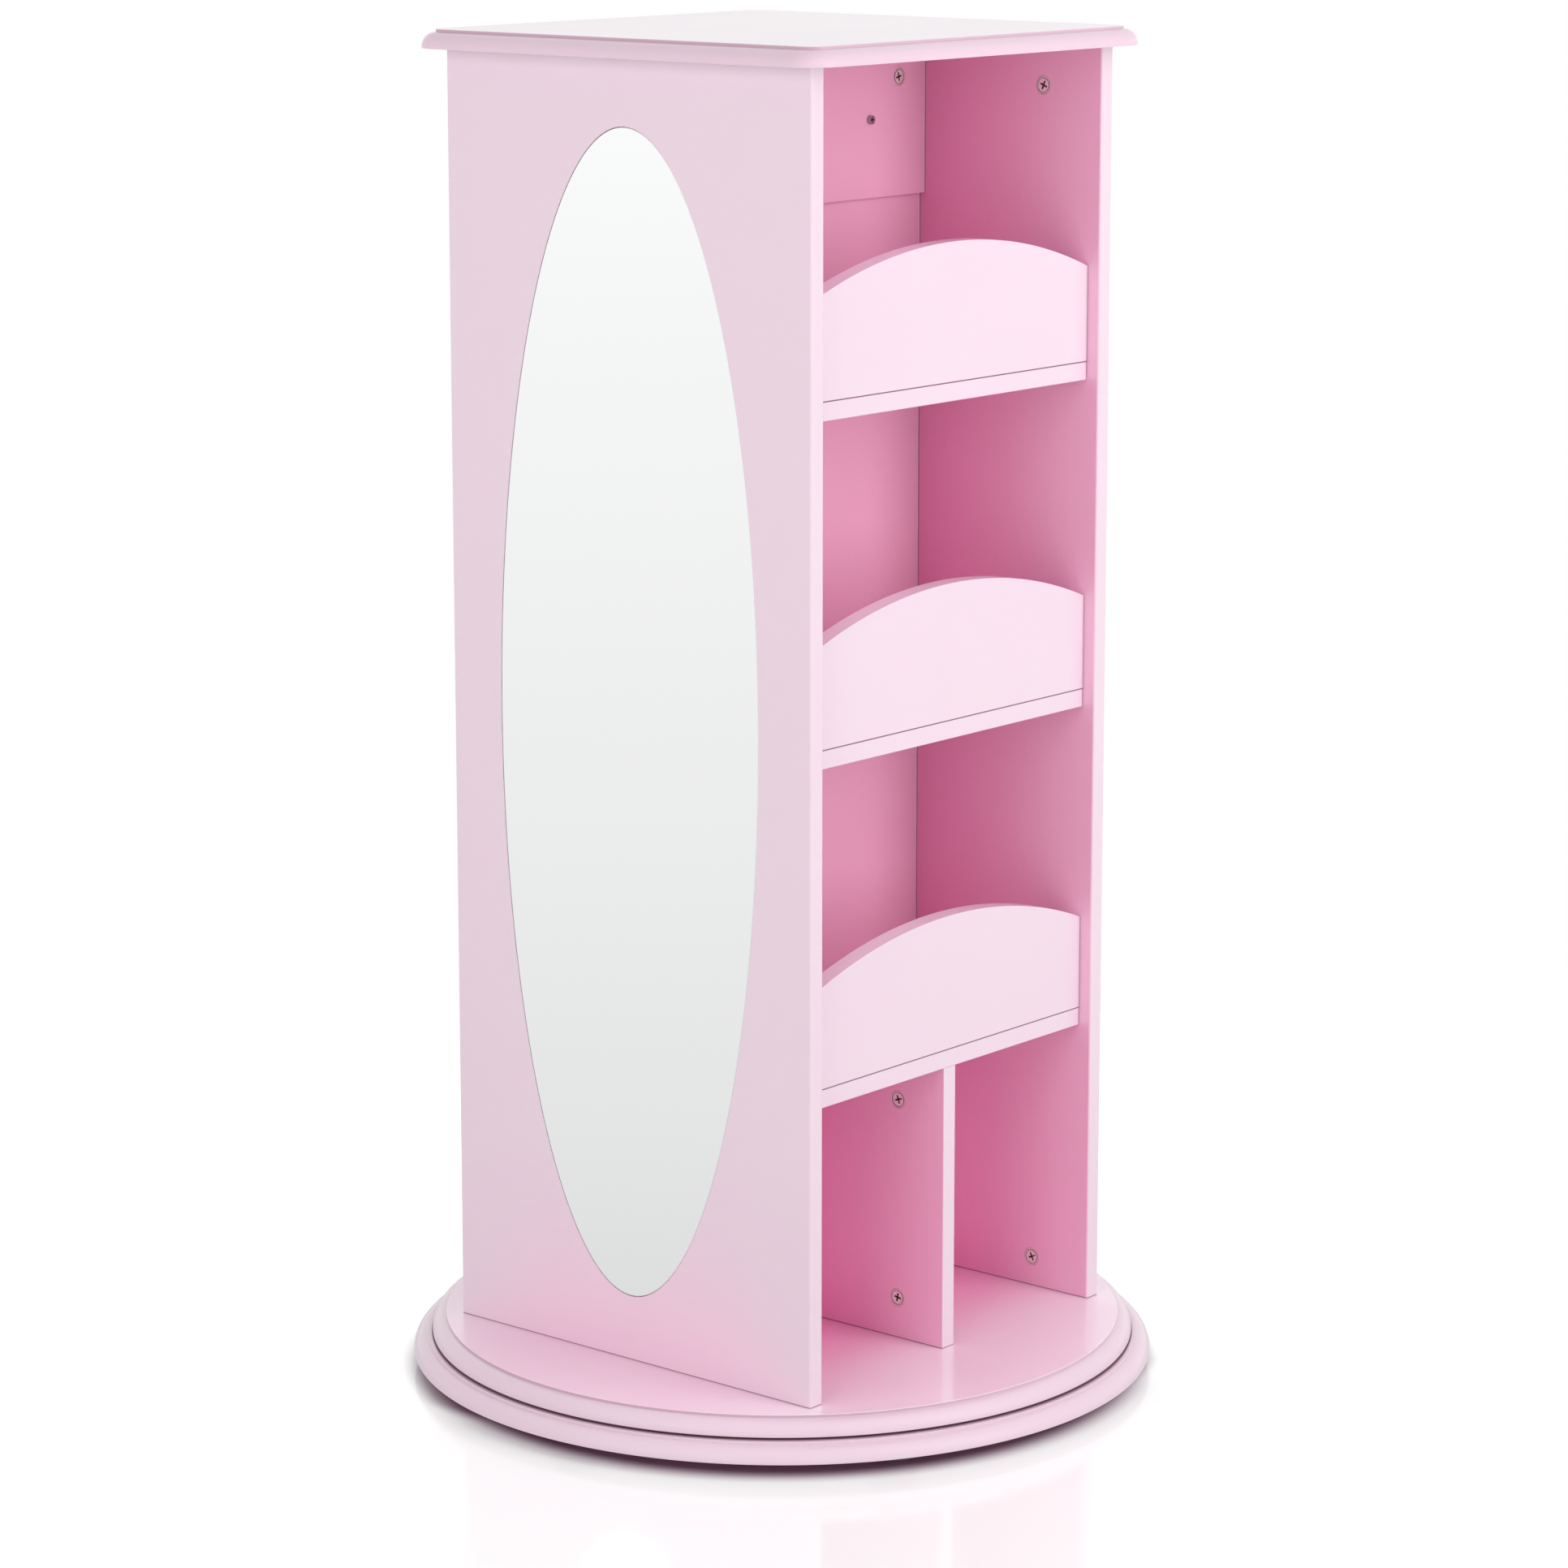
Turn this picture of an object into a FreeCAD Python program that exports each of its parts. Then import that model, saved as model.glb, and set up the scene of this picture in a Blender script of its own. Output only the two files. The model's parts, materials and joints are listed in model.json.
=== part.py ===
import FreeCAD, Part
import math
import os

# Revolving wardrobe cabinet, in millimetres.
# The origin is on the floor, on the axis that the cabinet turns about. +Z is up.
# -Y is the shelf side, +Y is the hanging side, and the oval mirror is on the -X side.

# ---- Boards ----
board = 15.0                    # every panel, shelf, lip and disc
back_board = 5.0                # the thin back panel between the two sides

# ---- Carcass ----
carcass_width = 378.0           # over the outer faces of the side panels, along X
carcass_depth = 375.0           # along Y
cubby_height = 235.0            # clear height under the lower shelf
bay_height = 254.0              # clear height over each shelf
shelf_setback = 11.5            # from the side panels' front edges back to the shelf fronts
rail_height = 127.0
panel_arris = 2.0               # rounding of the side panels' upright edges
arris = 0.8                     # rounding of shelf, lip, divider and disc edges
end_arris = 1.6                 # rounding of the upright ends of shelves and lips

# ---- Lips that stand on the shelf fronts ----
lip_end_height = 77.0
lip_rise = 33.0                 # how far the arch stands over its ends

# ---- Top panel and the two discs ----
top_overhang = 21.0
top_corner_radius = 25.0        # in plan
upper_disc_radius = 291.0
lower_disc_radius = 306.5
disc_gap = 1.5
edge_step = 2.3                 # small upright step at the top of the moulded edge
edge_land = 1.2                 # upright band at the foot of the moulded edge

# ---- Mirror ----
mirror_width = 270.0
mirror_height = 935.0
mirror_thickness = 3.0
mirror_gap = 0.3                # around the glass in its recess
tape_thickness = 0.8
tape_width = 18.0
tape_length = 560.0
tape_spread = 55.0              # from the middle of the glass to each strip

# ---- Back panel grooves ----
groove_depth = 5.0
groove_gap = 0.15

# ---- Cam locks, bolts and dowels ----
cam_radius = 7.5
cam_gap = 0.15
cam_web = 2.5                   # board left under a cam's hole
cam_sink = 0.2                  # how far a cam's face lies under the board's face
cam_slot_width = 1.8
cam_slot_length = 9.0
cam_slot_depth = 1.6
long_reach = 34.0               # from a board's end to its cam
short_reach = 25.0
cam_setback = 58.5              # from the side panels' edges to the cams
rail_cam_drop = 30.5            # from the top panel down to the rail's cams
bolt_web = 2.2                  # board left past the end of a bolt or dowel
bolt_head_radius = 3.4
bolt_head_length = 3.0
bolt_neck_radius = 2.2
bolt_neck_length = 3.5
bolt_shank_radius = 3.4
bolt_thread_radius = 2.9
bolt_gap = 0.2
bolt_tip = 2.0                  # from the cam's axis to the bolt's end
dowel_radius = 4.0
dowel_depth = 20.0              # into the end of a board
dowel_gap = 0.1
dowel_end_gap = 0.5
side_dowel_spread = 50.0        # from the middle of a side panel to each dowel
rear_dowel_setback = 42.0       # from the back panel to the rear dowels of shelves and divider
rail_dowel_rise = 36.0          # from the rail's lower edge to its end dowels
rail_top_dowel_spread = 60.0    # from the middle of the rail to each dowel into the top panel
lip_dowel_spread = 105.0        # from the middle of a lip to each dowel

# ---- Coat pegs ----
peg_count = 3
peg_pitch = 102.5
peg_length = 56.0
peg_foot_radius = 12.0
peg_foot_length = 5.0
peg_neck_radius = 6.5
peg_knob_radius = 13.0          # the knob is a ball
peg_throat_angle = 40.0         # how far round under its middle the knob runs, in degrees
peg_screw_head_radius = 3.75
peg_screw_head_height = 2.4
peg_screw_radius = 2.0
peg_screw_bite = 22.0           # into the peg

# ---- Turntable bearing ----
ball_radius = 2.38
ball_count = 16
ball_gap = 0.06
race_radius = 81.0
race_half_gap = 1.0             # from the ball circle to each ring
ring_width = 18.0
ring_clearance = 1.0            # from each ring to the disc that it turns against
ring_pocket_depth = 3.5
ring_pocket_gap = 1.0
cage_thickness = 1.2
cage_rim = 0.6                  # cage left over and under a ball
ring_screw_count = 4
ring_screw_radius = 2.0
ring_screw_head_radius = 3.8
ring_screw_bite = 8.5           # into the disc
screw_gap = 0.1
access_hole_radius = 10.0

# ---- Feet ----
foot_height = 13.0
foot_count = 6
foot_circle = 258.0
foot_radius = 20.0
foot_taper = 2.0
foot_round = 1.5
foot_recess_radius = 6.0
foot_recess_depth = 7.0
foot_screw_radius = 2.0
foot_screw_head_radius = 4.0
foot_screw_head_height = 2.5
foot_screw_bite = 10.0          # into the lower disc

# ---- Levels and planes that follow from the sizes above ----
lower_disc_z = foot_height
lower_disc_top = lower_disc_z + board
upper_disc_z = lower_disc_top + disc_gap
floor_z = upper_disc_z + board
lower_shelf_z = floor_z + cubby_height
middle_shelf_z = lower_shelf_z + board + bay_height
upper_shelf_z = middle_shelf_z + board + bay_height
ceiling_z = upper_shelf_z + board + bay_height
rail_z = ceiling_z - rail_height
mirror_z = (floor_z + ceiling_z) / 2
outer_x = carcass_width / 2
inner_x = outer_x - board
side_y = carcass_depth / 2
shelf_front_y = shelf_setback - side_y
back_y = -back_board / 2
cam_y = side_y - cam_setback
edge_round = board - edge_step - edge_land
mirror_recess = mirror_thickness + tape_thickness
bolt_bite = board - mirror_recess - bolt_web
cam_depth = board - cam_web
race_z = (lower_disc_top + upper_disc_z) / 2
ring_height = disc_gap + 2 * ring_pocket_depth - ring_clearance
outer_ring_z = lower_disc_top - ring_pocket_depth
inner_ring_top = upper_disc_z + ring_pocket_depth
pocket_radius = race_radius + race_half_gap + ring_width + ring_pocket_gap
outer_screw_circle = race_radius + race_half_gap + ring_width / 2
inner_screw_circle = race_radius - race_half_gap - ring_width / 2

X_AXIS = FreeCAD.Vector(1, 0, 0)
Y_AXIS = FreeCAD.Vector(0, 1, 0)
Z_AXIS = FreeCAD.Vector(0, 0, 1)
SHELVES = (("lower", lower_shelf_z), ("middle", middle_shelf_z), ("upper", upper_shelf_z))
SIDES = (("mirror", -1), ("plain", 1))


# ---- Basic shapes ----
def at(x, y, z):
    return FreeCAD.Vector(x, y, z)


def block(x0, x1, y0, y1, z0, z1):
    """Box between two corners."""
    return Part.makeBox(x1 - x0, y1 - y0, z1 - z0, at(x0, y0, z0))


def rod(radius, start, end):
    """Cylinder between two points."""
    return Part.makeCylinder(radius, (end - start).Length, start, end - start)


def around(count, radius, turn=0.0):
    """Points at equal steps on a circle in plan. turn is the first one's angle in degrees."""
    for i in range(count):
        angle = math.radians(360.0 * i / count + turn)
        yield radius * math.cos(angle), radius * math.sin(angle)


def arc(centre, radius, start, end):
    """Arc in the XZ plane from one angle to the other, in degrees, about a centre given as (x, z)."""
    points = []
    for angle in (start, (start + end) / 2, end):
        turn = math.radians(angle)
        points.append(at(centre[0] + radius * math.cos(turn), 0, centre[1] + radius * math.sin(turn)))
    return Part.Arc(*points).toShape()


def turned(pieces):
    """Solid of revolution about Z. The outline is (x, z) corners and ready-made arcs, in order."""
    edges = []
    last = None
    first = None
    for piece in pieces:
        is_arc = hasattr(piece, "Vertexes")
        start = piece.valueAt(piece.FirstParameter) if is_arc else at(piece[0], 0, piece[1])
        if last is None:
            first = start
        elif (start - last).Length > 1e-7:
            edges.append(Part.makeLine(last, start))
        last = start
        if is_arc:
            edges.append(piece)
            last = piece.valueAt(piece.LastParameter)
    edges.append(Part.makeLine(last, first))
    face = Part.Face(Part.Wire(edges))
    return face.revolve(at(0, 0, 0), Z_AXIS, 360)


def stepped_rod(sections):
    """Turned rod up the Z axis. Each section is (radius, length)."""
    corners = [(0, 0)]
    z = 0
    for radius, length in sections:
        corners.append((radius, z))
        z += length
        corners.append((radius, z))
    corners.append((0, z))
    return turned(corners)


def edges_where(shape, test):
    """Edges whose middle point and end-to-end direction pass the test."""
    picked = []
    for edge in shape.Edges:
        middle = edge.valueAt((edge.FirstParameter + edge.LastParameter) / 2)
        run = edge.valueAt(edge.LastParameter) - edge.valueAt(edge.FirstParameter)
        if test(middle, run):
            picked.append(edge)
    return picked


def is_upright(run):
    return abs(run.z) > 1e-6 and math.hypot(run.x, run.y) < 1e-6


def placed(shape, origin, along, out):
    """Moves a shape drawn with +X along and +Z out to its place on a board."""
    turn = FreeCAD.Rotation(along, out.cross(along), out, "ZXY")
    copy = shape.copy()
    copy.Placement = FreeCAD.Placement(origin, turn).multiply(copy.Placement)
    return copy


def lifted(shape, x, y, z):
    copy = shape.copy()
    copy.translate(at(x, y, z))
    return copy


# ---- Holes and hardware, gathered while the joints between boards are laid out ----
holes = {}
hardware = {}


def drill(board_name, cutter):
    holes.setdefault(board_name, []).append(cutter)


def fit(node, solid):
    hardware.setdefault(node, []).append(solid)


def drilled(board_name, shape):
    """The board with every hole that its joints put in it."""
    if board_name not in holes:
        return shape
    return shape.cut(holes[board_name])


# ---- Cam lock joint. Local frame: the cam's axis is +Z out of the face, its bolt runs along +X ----
def cam_lock():
    body = rod(cam_radius, at(0, 0, cam_sink + cam_gap - cam_depth), at(0, 0, -cam_sink))
    socket = rod(bolt_head_radius + bolt_gap, at(0, 0, -board / 2), at(2 * cam_radius, 0, -board / 2))
    half = cam_slot_length / 2
    width = cam_slot_width / 2
    floor = -cam_sink - cam_slot_depth
    slot = block(-half, half, -width, width, floor, 0)
    cross_slot = block(-width, width, -half, half, floor, 0)
    return body.cut([socket, slot, cross_slot])


def cam_bolt(reach):
    shank = reach - bolt_tip - bolt_head_length - bolt_neck_length
    rod_up = stepped_rod(((bolt_head_radius, bolt_head_length), (bolt_neck_radius, bolt_neck_length),
                          (bolt_shank_radius, shank), (bolt_thread_radius, bolt_bite)))
    rod_up.rotate(at(0, 0, 0), Y_AXIS, 90)
    return lifted(rod_up, bolt_tip, 0, -board / 2)


def cam_joint(holder, mate, cam_node, bolt_node, seat, out, along, reach):
    """Cam in the holder's face at seat, with its bolt running along into the mate's face."""
    cam_hole = rod(cam_radius + cam_gap, at(0, 0, -cam_depth), at(0, 0, board))
    bolt_hole = rod(bolt_shank_radius + bolt_gap, at(0, 0, -board / 2), at(reach + board, 0, -board / 2))
    thread_hole = rod(bolt_thread_radius + dowel_gap, at(0, 0, -board / 2),
                      at(reach + bolt_bite + bolt_gap, 0, -board / 2))
    drill(holder, placed(cam_hole, seat, along, out))
    drill(holder, placed(bolt_hole, seat, along, out))
    drill(mate, placed(thread_hole, seat, along, out))
    fit(cam_node, placed(cam_lock(), seat, along, out))
    fit(bolt_node, placed(cam_bolt(reach), seat, along, out))


def dowel_joint(holder, mate, node, seam, along):
    """Wooden dowel across the seam where the end of the holder meets the mate's face."""
    bite = bolt_bite - dowel_end_gap
    start = seam - along * (dowel_depth - dowel_end_gap)
    end = seam + along * bite
    drill(holder, rod(dowel_radius + dowel_gap, seam - along * dowel_depth, end))
    drill(mate, rod(dowel_radius + dowel_gap, start, seam + along * bolt_bite))
    fit(node, rod(dowel_radius, start, end))


def lay_out_side_panel_joints():
    for name, side in SIDES:
        panel = name + "_side_panel"
        cams = name + "_side_panel_cams"
        ends = ((ceiling_z, 1, long_reach, "top_panel"), (floor_z, -1, short_reach, "upper_disc"))
        for y in (-cam_y, cam_y):
            for z, up, reach, mate in ends:
                seat = at(side * inner_x, y, z - up * reach)
                cam_joint(panel, mate, cams, mate + "_bolts", seat, X_AXIS * -side, Z_AXIS * up, reach)
        for y in (-side_dowel_spread, side_dowel_spread):
            for z, up, mate in ((ceiling_z, 1, "top_panel"), (floor_z, -1, "upper_disc")):
                seam = at(side * (inner_x + board / 2), y, z)
                dowel_joint(panel, mate, "side_panel_dowels", seam, Z_AXIS * up)


def lay_out_shelf_joints():
    for name, z in SHELVES:
        shelf = name + "_shelf"
        for side_name, side in SIDES:
            panel = side_name + "_side_panel"
            seat = at(side * (inner_x - long_reach), -cam_y, z)
            cam_joint(shelf, panel, shelf + "_cams", panel + "_bolts", seat,
                      Z_AXIS * -1, X_AXIS * side, long_reach)
            seam = at(side * inner_x, back_y - rear_dowel_setback, z + board / 2)
            dowel_joint(shelf, panel, "shelf_dowels", seam, X_AXIS * side)
            seam = at(side * lip_dowel_spread, shelf_front_y + board / 2, z + board)
            dowel_joint(name + "_lip", shelf, "lip_dowels", seam, Z_AXIS * -1)


def lay_out_divider_joints():
    for z, up, mate in ((lower_shelf_z, 1, "lower_shelf"), (floor_z, -1, "upper_disc")):
        seat = at(-board / 2, -cam_y, z - up * long_reach)
        cam_joint("cubby_divider", mate, "divider_cams", mate + "_bolts", seat,
                  X_AXIS * -1, Z_AXIS * up, long_reach)
        seam = at(0, back_y - rear_dowel_setback, z)
        dowel_joint("cubby_divider", mate, "divider_dowels", seam, Z_AXIS * up)


def lay_out_rail_joints():
    for name, side in SIDES:
        panel = name + "_side_panel"
        seat = at(side * (inner_x - long_reach), -board / 2, ceiling_z - rail_cam_drop)
        cam_joint("top_rail", panel, "rail_cams", panel + "_bolts", seat,
                  Y_AXIS * -1, X_AXIS * side, long_reach)
        seam = at(side * inner_x, 0, rail_z + rail_dowel_rise)
        dowel_joint("top_rail", panel, "rail_dowels", seam, X_AXIS * side)
        seam = at(side * rail_top_dowel_spread, 0, ceiling_z)
        dowel_joint("top_rail", "top_panel", "rail_dowels", seam, Z_AXIS)


# ---- Moulded boards ----
def moulded_disc(radius, z):
    """Round board: a land at the foot, a round-over above it, and a small step up to the flat top."""
    land_z = z + edge_land
    return turned([(0, z),
                   arc((radius - arris, z + arris), arris, -90, 0),
                   arc((radius - edge_round, land_z), edge_round, 0, 90),
                   (radius - edge_round, z + board),
                   (0, z + board)])


def rounded_block(half_x, half_y, corner, z0, z1):
    slab = block(-half_x, half_x, -half_y, half_y, z0, z1)
    return slab.makeFillet(corner, edges_where(slab, lambda middle, run: is_upright(run)))


def moulded_panel(half_x, half_y, corner, z):
    """Square board with the same edge as the discs."""
    shoulder_z = z + edge_land + edge_round
    slab = rounded_block(half_x, half_y, corner, z, shoulder_z)
    upper_rim = edges_where(slab, lambda middle, run: abs(middle.z - shoulder_z) < 1e-6)
    slab = slab.makeFillet(edge_round, upper_rim)
    slab = slab.makeFillet(arris, edges_where(slab, lambda middle, run: abs(middle.z - z) < 1e-6))
    flat = rounded_block(half_x - edge_round, half_y - edge_round, corner - edge_round,
                         z + board / 2, z + board)
    return slab.fuse(flat).removeSplitter()


# ---- Carcass ----
def back_groove():
    """Space cut for the back panel in the side panels, the rail and the upper disc."""
    half = inner_x + groove_depth
    return block(-half, half, back_y - groove_gap, groove_gap - back_y,
                 floor_z - groove_depth, rail_z + groove_depth)


def back_panel():
    half = inner_x + groove_depth - groove_gap
    return block(-half, half, back_y, -back_y,
                 floor_z + groove_gap - groove_depth, rail_z + groove_depth - groove_gap)


def mirror_oval(gap, x0, x1):
    """Oval prism in the YZ plane, gap larger than the glass all round."""
    half_height = mirror_height / 2 + gap
    half_width = mirror_width / 2 + gap
    middle = at(x0, 0, mirror_z)
    outline = Part.Ellipse(at(x0, 0, mirror_z + half_height), at(x0, half_width, mirror_z), middle)
    face = Part.Face(Part.Wire(outline.toShape()))
    return face.extrude(X_AXIS * (x1 - x0))


def side_panel(name, side):
    panel = block(min(side * inner_x, side * outer_x), max(side * inner_x, side * outer_x),
                  -side_y, side_y, floor_z, ceiling_z)
    panel = panel.makeFillet(panel_arris, edges_where(panel, lambda middle, run: is_upright(run)))
    if name == "mirror":
        panel = panel.cut(mirror_oval(mirror_gap, -outer_x - board, mirror_recess - outer_x))
    return drilled(name + "_side_panel", panel.cut(back_groove()))


def oval_mirror():
    return mirror_oval(0, -outer_x, mirror_thickness - outer_x)


def mirror_tape():
    strips = []
    for y in (-tape_spread, tape_spread):
        strips.append(block(mirror_thickness - outer_x, mirror_recess - outer_x, y - tape_width / 2,
                            y + tape_width / 2, mirror_z - tape_length / 2, mirror_z + tape_length / 2))
    return strips


def front_uprights(shape, front_y):
    return edges_where(shape, lambda middle, run: is_upright(run) and abs(middle.y - front_y) < 1e-6)


def ease_front(shape, front_y):
    """Rounds the upright ends and then the whole outline of a board's front face."""
    shape = shape.makeFillet(end_arris, front_uprights(shape, front_y))
    outline = edges_where(shape, lambda middle, run: abs(middle.y - front_y) < 1e-6 and not is_upright(run))
    return shape.makeFillet(arris, outline)


def shelf(name, z):
    shape = block(-inner_x, inner_x, shelf_front_y, back_y, z, z + board)
    return drilled(name + "_shelf", ease_front(shape, shelf_front_y))


def lip(name, shelf_z):
    """Board on edge along a shelf's front. Its top is one shallow arch."""
    z = shelf_z + board
    left = at(-inner_x, shelf_front_y, z + lip_end_height)
    crown = at(0, shelf_front_y, z + lip_end_height + lip_rise)
    right = at(inner_x, shelf_front_y, z + lip_end_height)
    foot_left = at(-inner_x, shelf_front_y, z)
    foot_right = at(inner_x, shelf_front_y, z)
    arch = Part.Arc(left, crown, right).toShape()
    outline = Part.Wire([arch, Part.makeLine(right, foot_right), Part.makeLine(foot_right, foot_left),
                         Part.makeLine(foot_left, left)])
    shape = Part.Face(outline).extrude(Y_AXIS * board)
    arch_edges = edges_where(shape, lambda middle, run: middle.z > z + lip_end_height + arris)
    shape = shape.makeFillet(arris, arch_edges)
    return drilled(name + "_lip", shape.makeFillet(arris, front_uprights(shape, shelf_front_y)))


def cubby_divider():
    shape = block(-board / 2, board / 2, shelf_front_y, back_y, floor_z, lower_shelf_z)
    return drilled("cubby_divider", shape.makeFillet(arris, front_uprights(shape, shelf_front_y)))


def peg_places():
    middle = (peg_count - 1) / 2
    return [((i - middle) * peg_pitch, rail_z + rail_height / 2) for i in range(peg_count)]


def top_rail():
    rail = block(-inner_x, inner_x, -board / 2, board / 2, rail_z, ceiling_z)
    for x, z in peg_places():
        rail = rail.cut(rod(peg_screw_radius + screw_gap, at(x, -board, z), at(x, board, z)))
    return drilled("top_rail", rail.cut(back_groove()))


def top_panel():
    panel = moulded_panel(outer_x + top_overhang, side_y + top_overhang, top_corner_radius, ceiling_z)
    return drilled("top_panel", panel)


# ---- Coat pegs ----
def coat_peg(x, z):
    """Turned peg on the hanging side of the rail: a foot, a waisted neck and a ball knob."""
    knob_z = peg_length - peg_knob_radius
    throat = math.radians(peg_throat_angle)
    throat_z = knob_z - peg_knob_radius * math.sin(throat)
    waist = Part.Arc(at(peg_foot_radius - arris, 0, peg_foot_length),
                     at(peg_neck_radius, 0, (peg_foot_length + throat_z) / 2),
                     at(peg_knob_radius * math.cos(throat), 0, throat_z)).toShape()
    knob = arc((0, knob_z), peg_knob_radius, -peg_throat_angle, 90)
    peg = turned([(0, 0), (peg_foot_radius, 0), (peg_foot_radius, peg_foot_length - arris), waist, knob])
    peg = peg.cut(rod(peg_screw_radius + screw_gap, at(0, 0, -board), at(0, 0, peg_screw_bite + screw_gap)))
    return placed(peg, at(x, board / 2, z), X_AXIS, Y_AXIS)


def peg_screw(x, z):
    """Pan-head screw from the shelf side of the rail into a peg."""
    length = board + peg_screw_bite
    screw = stepped_rod(((peg_screw_head_radius, peg_screw_head_height), (peg_screw_radius, length)))
    rim = edges_where(screw, lambda middle, run: middle.z < 1e-6 and abs(middle.x) > 1)
    screw = screw.makeFillet(peg_screw_head_height / 2, rim)
    return placed(screw, at(x, -board / 2 - peg_screw_head_height, z), X_AXIS, Y_AXIS)


# ---- Turntable bearing ----
def race_groove():
    return Part.makeTorus(race_radius, ball_radius + ball_gap, at(0, 0, race_z), Z_AXIS)


def race_ring(inner_radius, outer_radius, z, screw_circle, flip):
    """Bearing ring with a ball race and countersunk screw holes. flip puts the countersinks underneath."""
    ring = rod(outer_radius, at(0, 0, z), at(0, 0, z + ring_height))
    ring = ring.cut(rod(inner_radius, at(0, 0, z), at(0, 0, z + ring_height)))
    ring = ring.cut(race_groove())
    for x, y in around(ring_screw_count, screw_circle, 45):
        ring = ring.cut(ring_screw_shape(screw_gap, x, y, z, flip, ring_height))
    return ring


def ring_screw_shape(gap, x, y, z, flip, bite):
    """Countersunk screw with its head flush with one face of a ring that starts at height z."""
    cone = ring_screw_head_radius - ring_screw_radius
    shank = ring_screw_radius + gap
    shape = turned([(0, -bite - gap), (shank, -bite - gap), (shank, -cone),
                    (ring_screw_head_radius + gap, gap), (0, gap)])
    if flip:
        shape.rotate(at(0, 0, 0), X_AXIS, 180)
        return lifted(shape, x, y, z)
    return lifted(shape, x, y, z + ring_height)


def ring_screws(circle, z, flip):
    bite = ring_height + ring_screw_bite
    return [ring_screw_shape(0, x, y, z, flip, bite) for x, y in around(ring_screw_count, circle, 45)]


def ring_pocket(z0, z1):
    return rod(pocket_radius, at(0, 0, z0), at(0, 0, z1))


def bearing_balls():
    return [Part.makeSphere(ball_radius, at(x, y, race_z)) for x, y in around(ball_count, race_radius)]


def ball_cage():
    half_height = ball_radius + cage_rim
    low = at(0, 0, race_z - half_height)
    high = at(0, 0, race_z + half_height)
    cage = rod(race_radius + cage_thickness / 2, low, high)
    cage = cage.cut(rod(race_radius - cage_thickness / 2, low, high))
    windows = []
    for x, y in around(ball_count, race_radius):
        reach = at(x, y, 0).normalize() * (2 * cage_thickness)
        windows.append(rod(ball_radius + ball_gap, at(x, y, race_z) - reach, at(x, y, race_z) + reach))
    return cage.cut(windows)


# ---- Discs ----
def upper_disc():
    disc = moulded_disc(upper_disc_radius, upper_disc_z)
    disc = disc.cut(ring_pocket(upper_disc_z - disc_gap, inner_ring_top))
    for screw in ring_screws(inner_screw_circle, inner_ring_top - ring_height, True):
        disc = disc.cut(screw)
    return drilled("upper_disc", disc.cut(back_groove()))


def lower_disc():
    disc = moulded_disc(lower_disc_radius, lower_disc_z)
    disc = disc.cut(ring_pocket(outer_ring_z, upper_disc_z))
    for screw in ring_screws(outer_screw_circle, outer_ring_z, False):
        disc = disc.cut(screw)
    screw_top = foot_height + foot_screw_bite
    for x, y in around(foot_count, foot_circle):
        disc = disc.cut(rod(foot_screw_radius, at(x, y, foot_height), at(x, y, screw_top)))
    access = rod(access_hole_radius, at(inner_screw_circle, 0, 0), at(inner_screw_circle, 0, lower_disc_top))
    return disc.cut(access)


# ---- Feet ----
def foot(x, y):
    """Glide foot, recessed underneath for its screw head."""
    base = foot_radius - foot_taper
    hole = foot_screw_radius + screw_gap
    shape = turned([(hole, foot_recess_depth), (foot_recess_radius, foot_recess_depth),
                    (foot_recess_radius, 0), arc((base - foot_round, foot_round), foot_round, -90, 0),
                    (foot_radius, foot_height), (hole, foot_height)])
    return lifted(shape, x, y, 0)


def foot_screw(x, y):
    length = foot_height - foot_recess_depth + foot_screw_bite
    screw = stepped_rod(((foot_screw_head_radius, foot_screw_head_height), (foot_screw_radius, length)))
    return lifted(screw, x, y, foot_recess_depth - foot_screw_head_height)


# ---- Whole cabinet ----
def save(node, shape):
    """Writes one node, from one solid or a list of separate solids."""
    solids = shape if isinstance(shape, list) else [shape]
    separate = []
    for solid in solids:
        separate.extend(solid.Solids)
    result = separate[0] if len(separate) == 1 else Part.makeCompound(separate)
    result.exportStep("parts/" + node + ".step")


def save_stand():
    save("lower_disc", lower_disc())
    save("feet", [foot(x, y) for x, y in around(foot_count, foot_circle)])
    save("foot_screws", [foot_screw(x, y) for x, y in around(foot_count, foot_circle)])
    outer = race_radius + race_half_gap
    save("outer_race_ring", race_ring(outer, outer + ring_width, outer_ring_z, outer_screw_circle, False))
    save("outer_ring_screws", ring_screws(outer_screw_circle, outer_ring_z, False))


def save_bearing_set():
    save("bearing_balls", bearing_balls())
    save("ball_cage", ball_cage())


def save_carousel():
    inner = race_radius - race_half_gap
    ring_z = inner_ring_top - ring_height
    save("inner_race_ring", race_ring(inner - ring_width, inner, ring_z, inner_screw_circle, True))
    save("inner_ring_screws", ring_screws(inner_screw_circle, ring_z, True))
    save("upper_disc", upper_disc())
    for name, side in SIDES:
        save(name + "_side_panel", side_panel(name, side))
    save("oval_mirror", oval_mirror())
    save("mirror_tape", mirror_tape())
    save("back_panel", back_panel())
    save("top_rail", top_rail())
    save("top_panel", top_panel())
    for name, z in SHELVES:
        save(name + "_shelf", shelf(name, z))
        save(name + "_lip", lip(name, z))
    save("cubby_divider", cubby_divider())
    for number, (x, z) in enumerate(peg_places(), start=1):
        save("coat_peg_%d" % number, coat_peg(x, z))
    save("peg_screws", [peg_screw(x, z) for x, z in peg_places()])
    for node, solids in hardware.items():
        save(node, solids)


os.makedirs("parts", exist_ok=True)
lay_out_side_panel_joints()
lay_out_shelf_joints()
lay_out_divider_joints()
lay_out_rail_joints()
save_stand()
save_bearing_set()
save_carousel()
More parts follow.
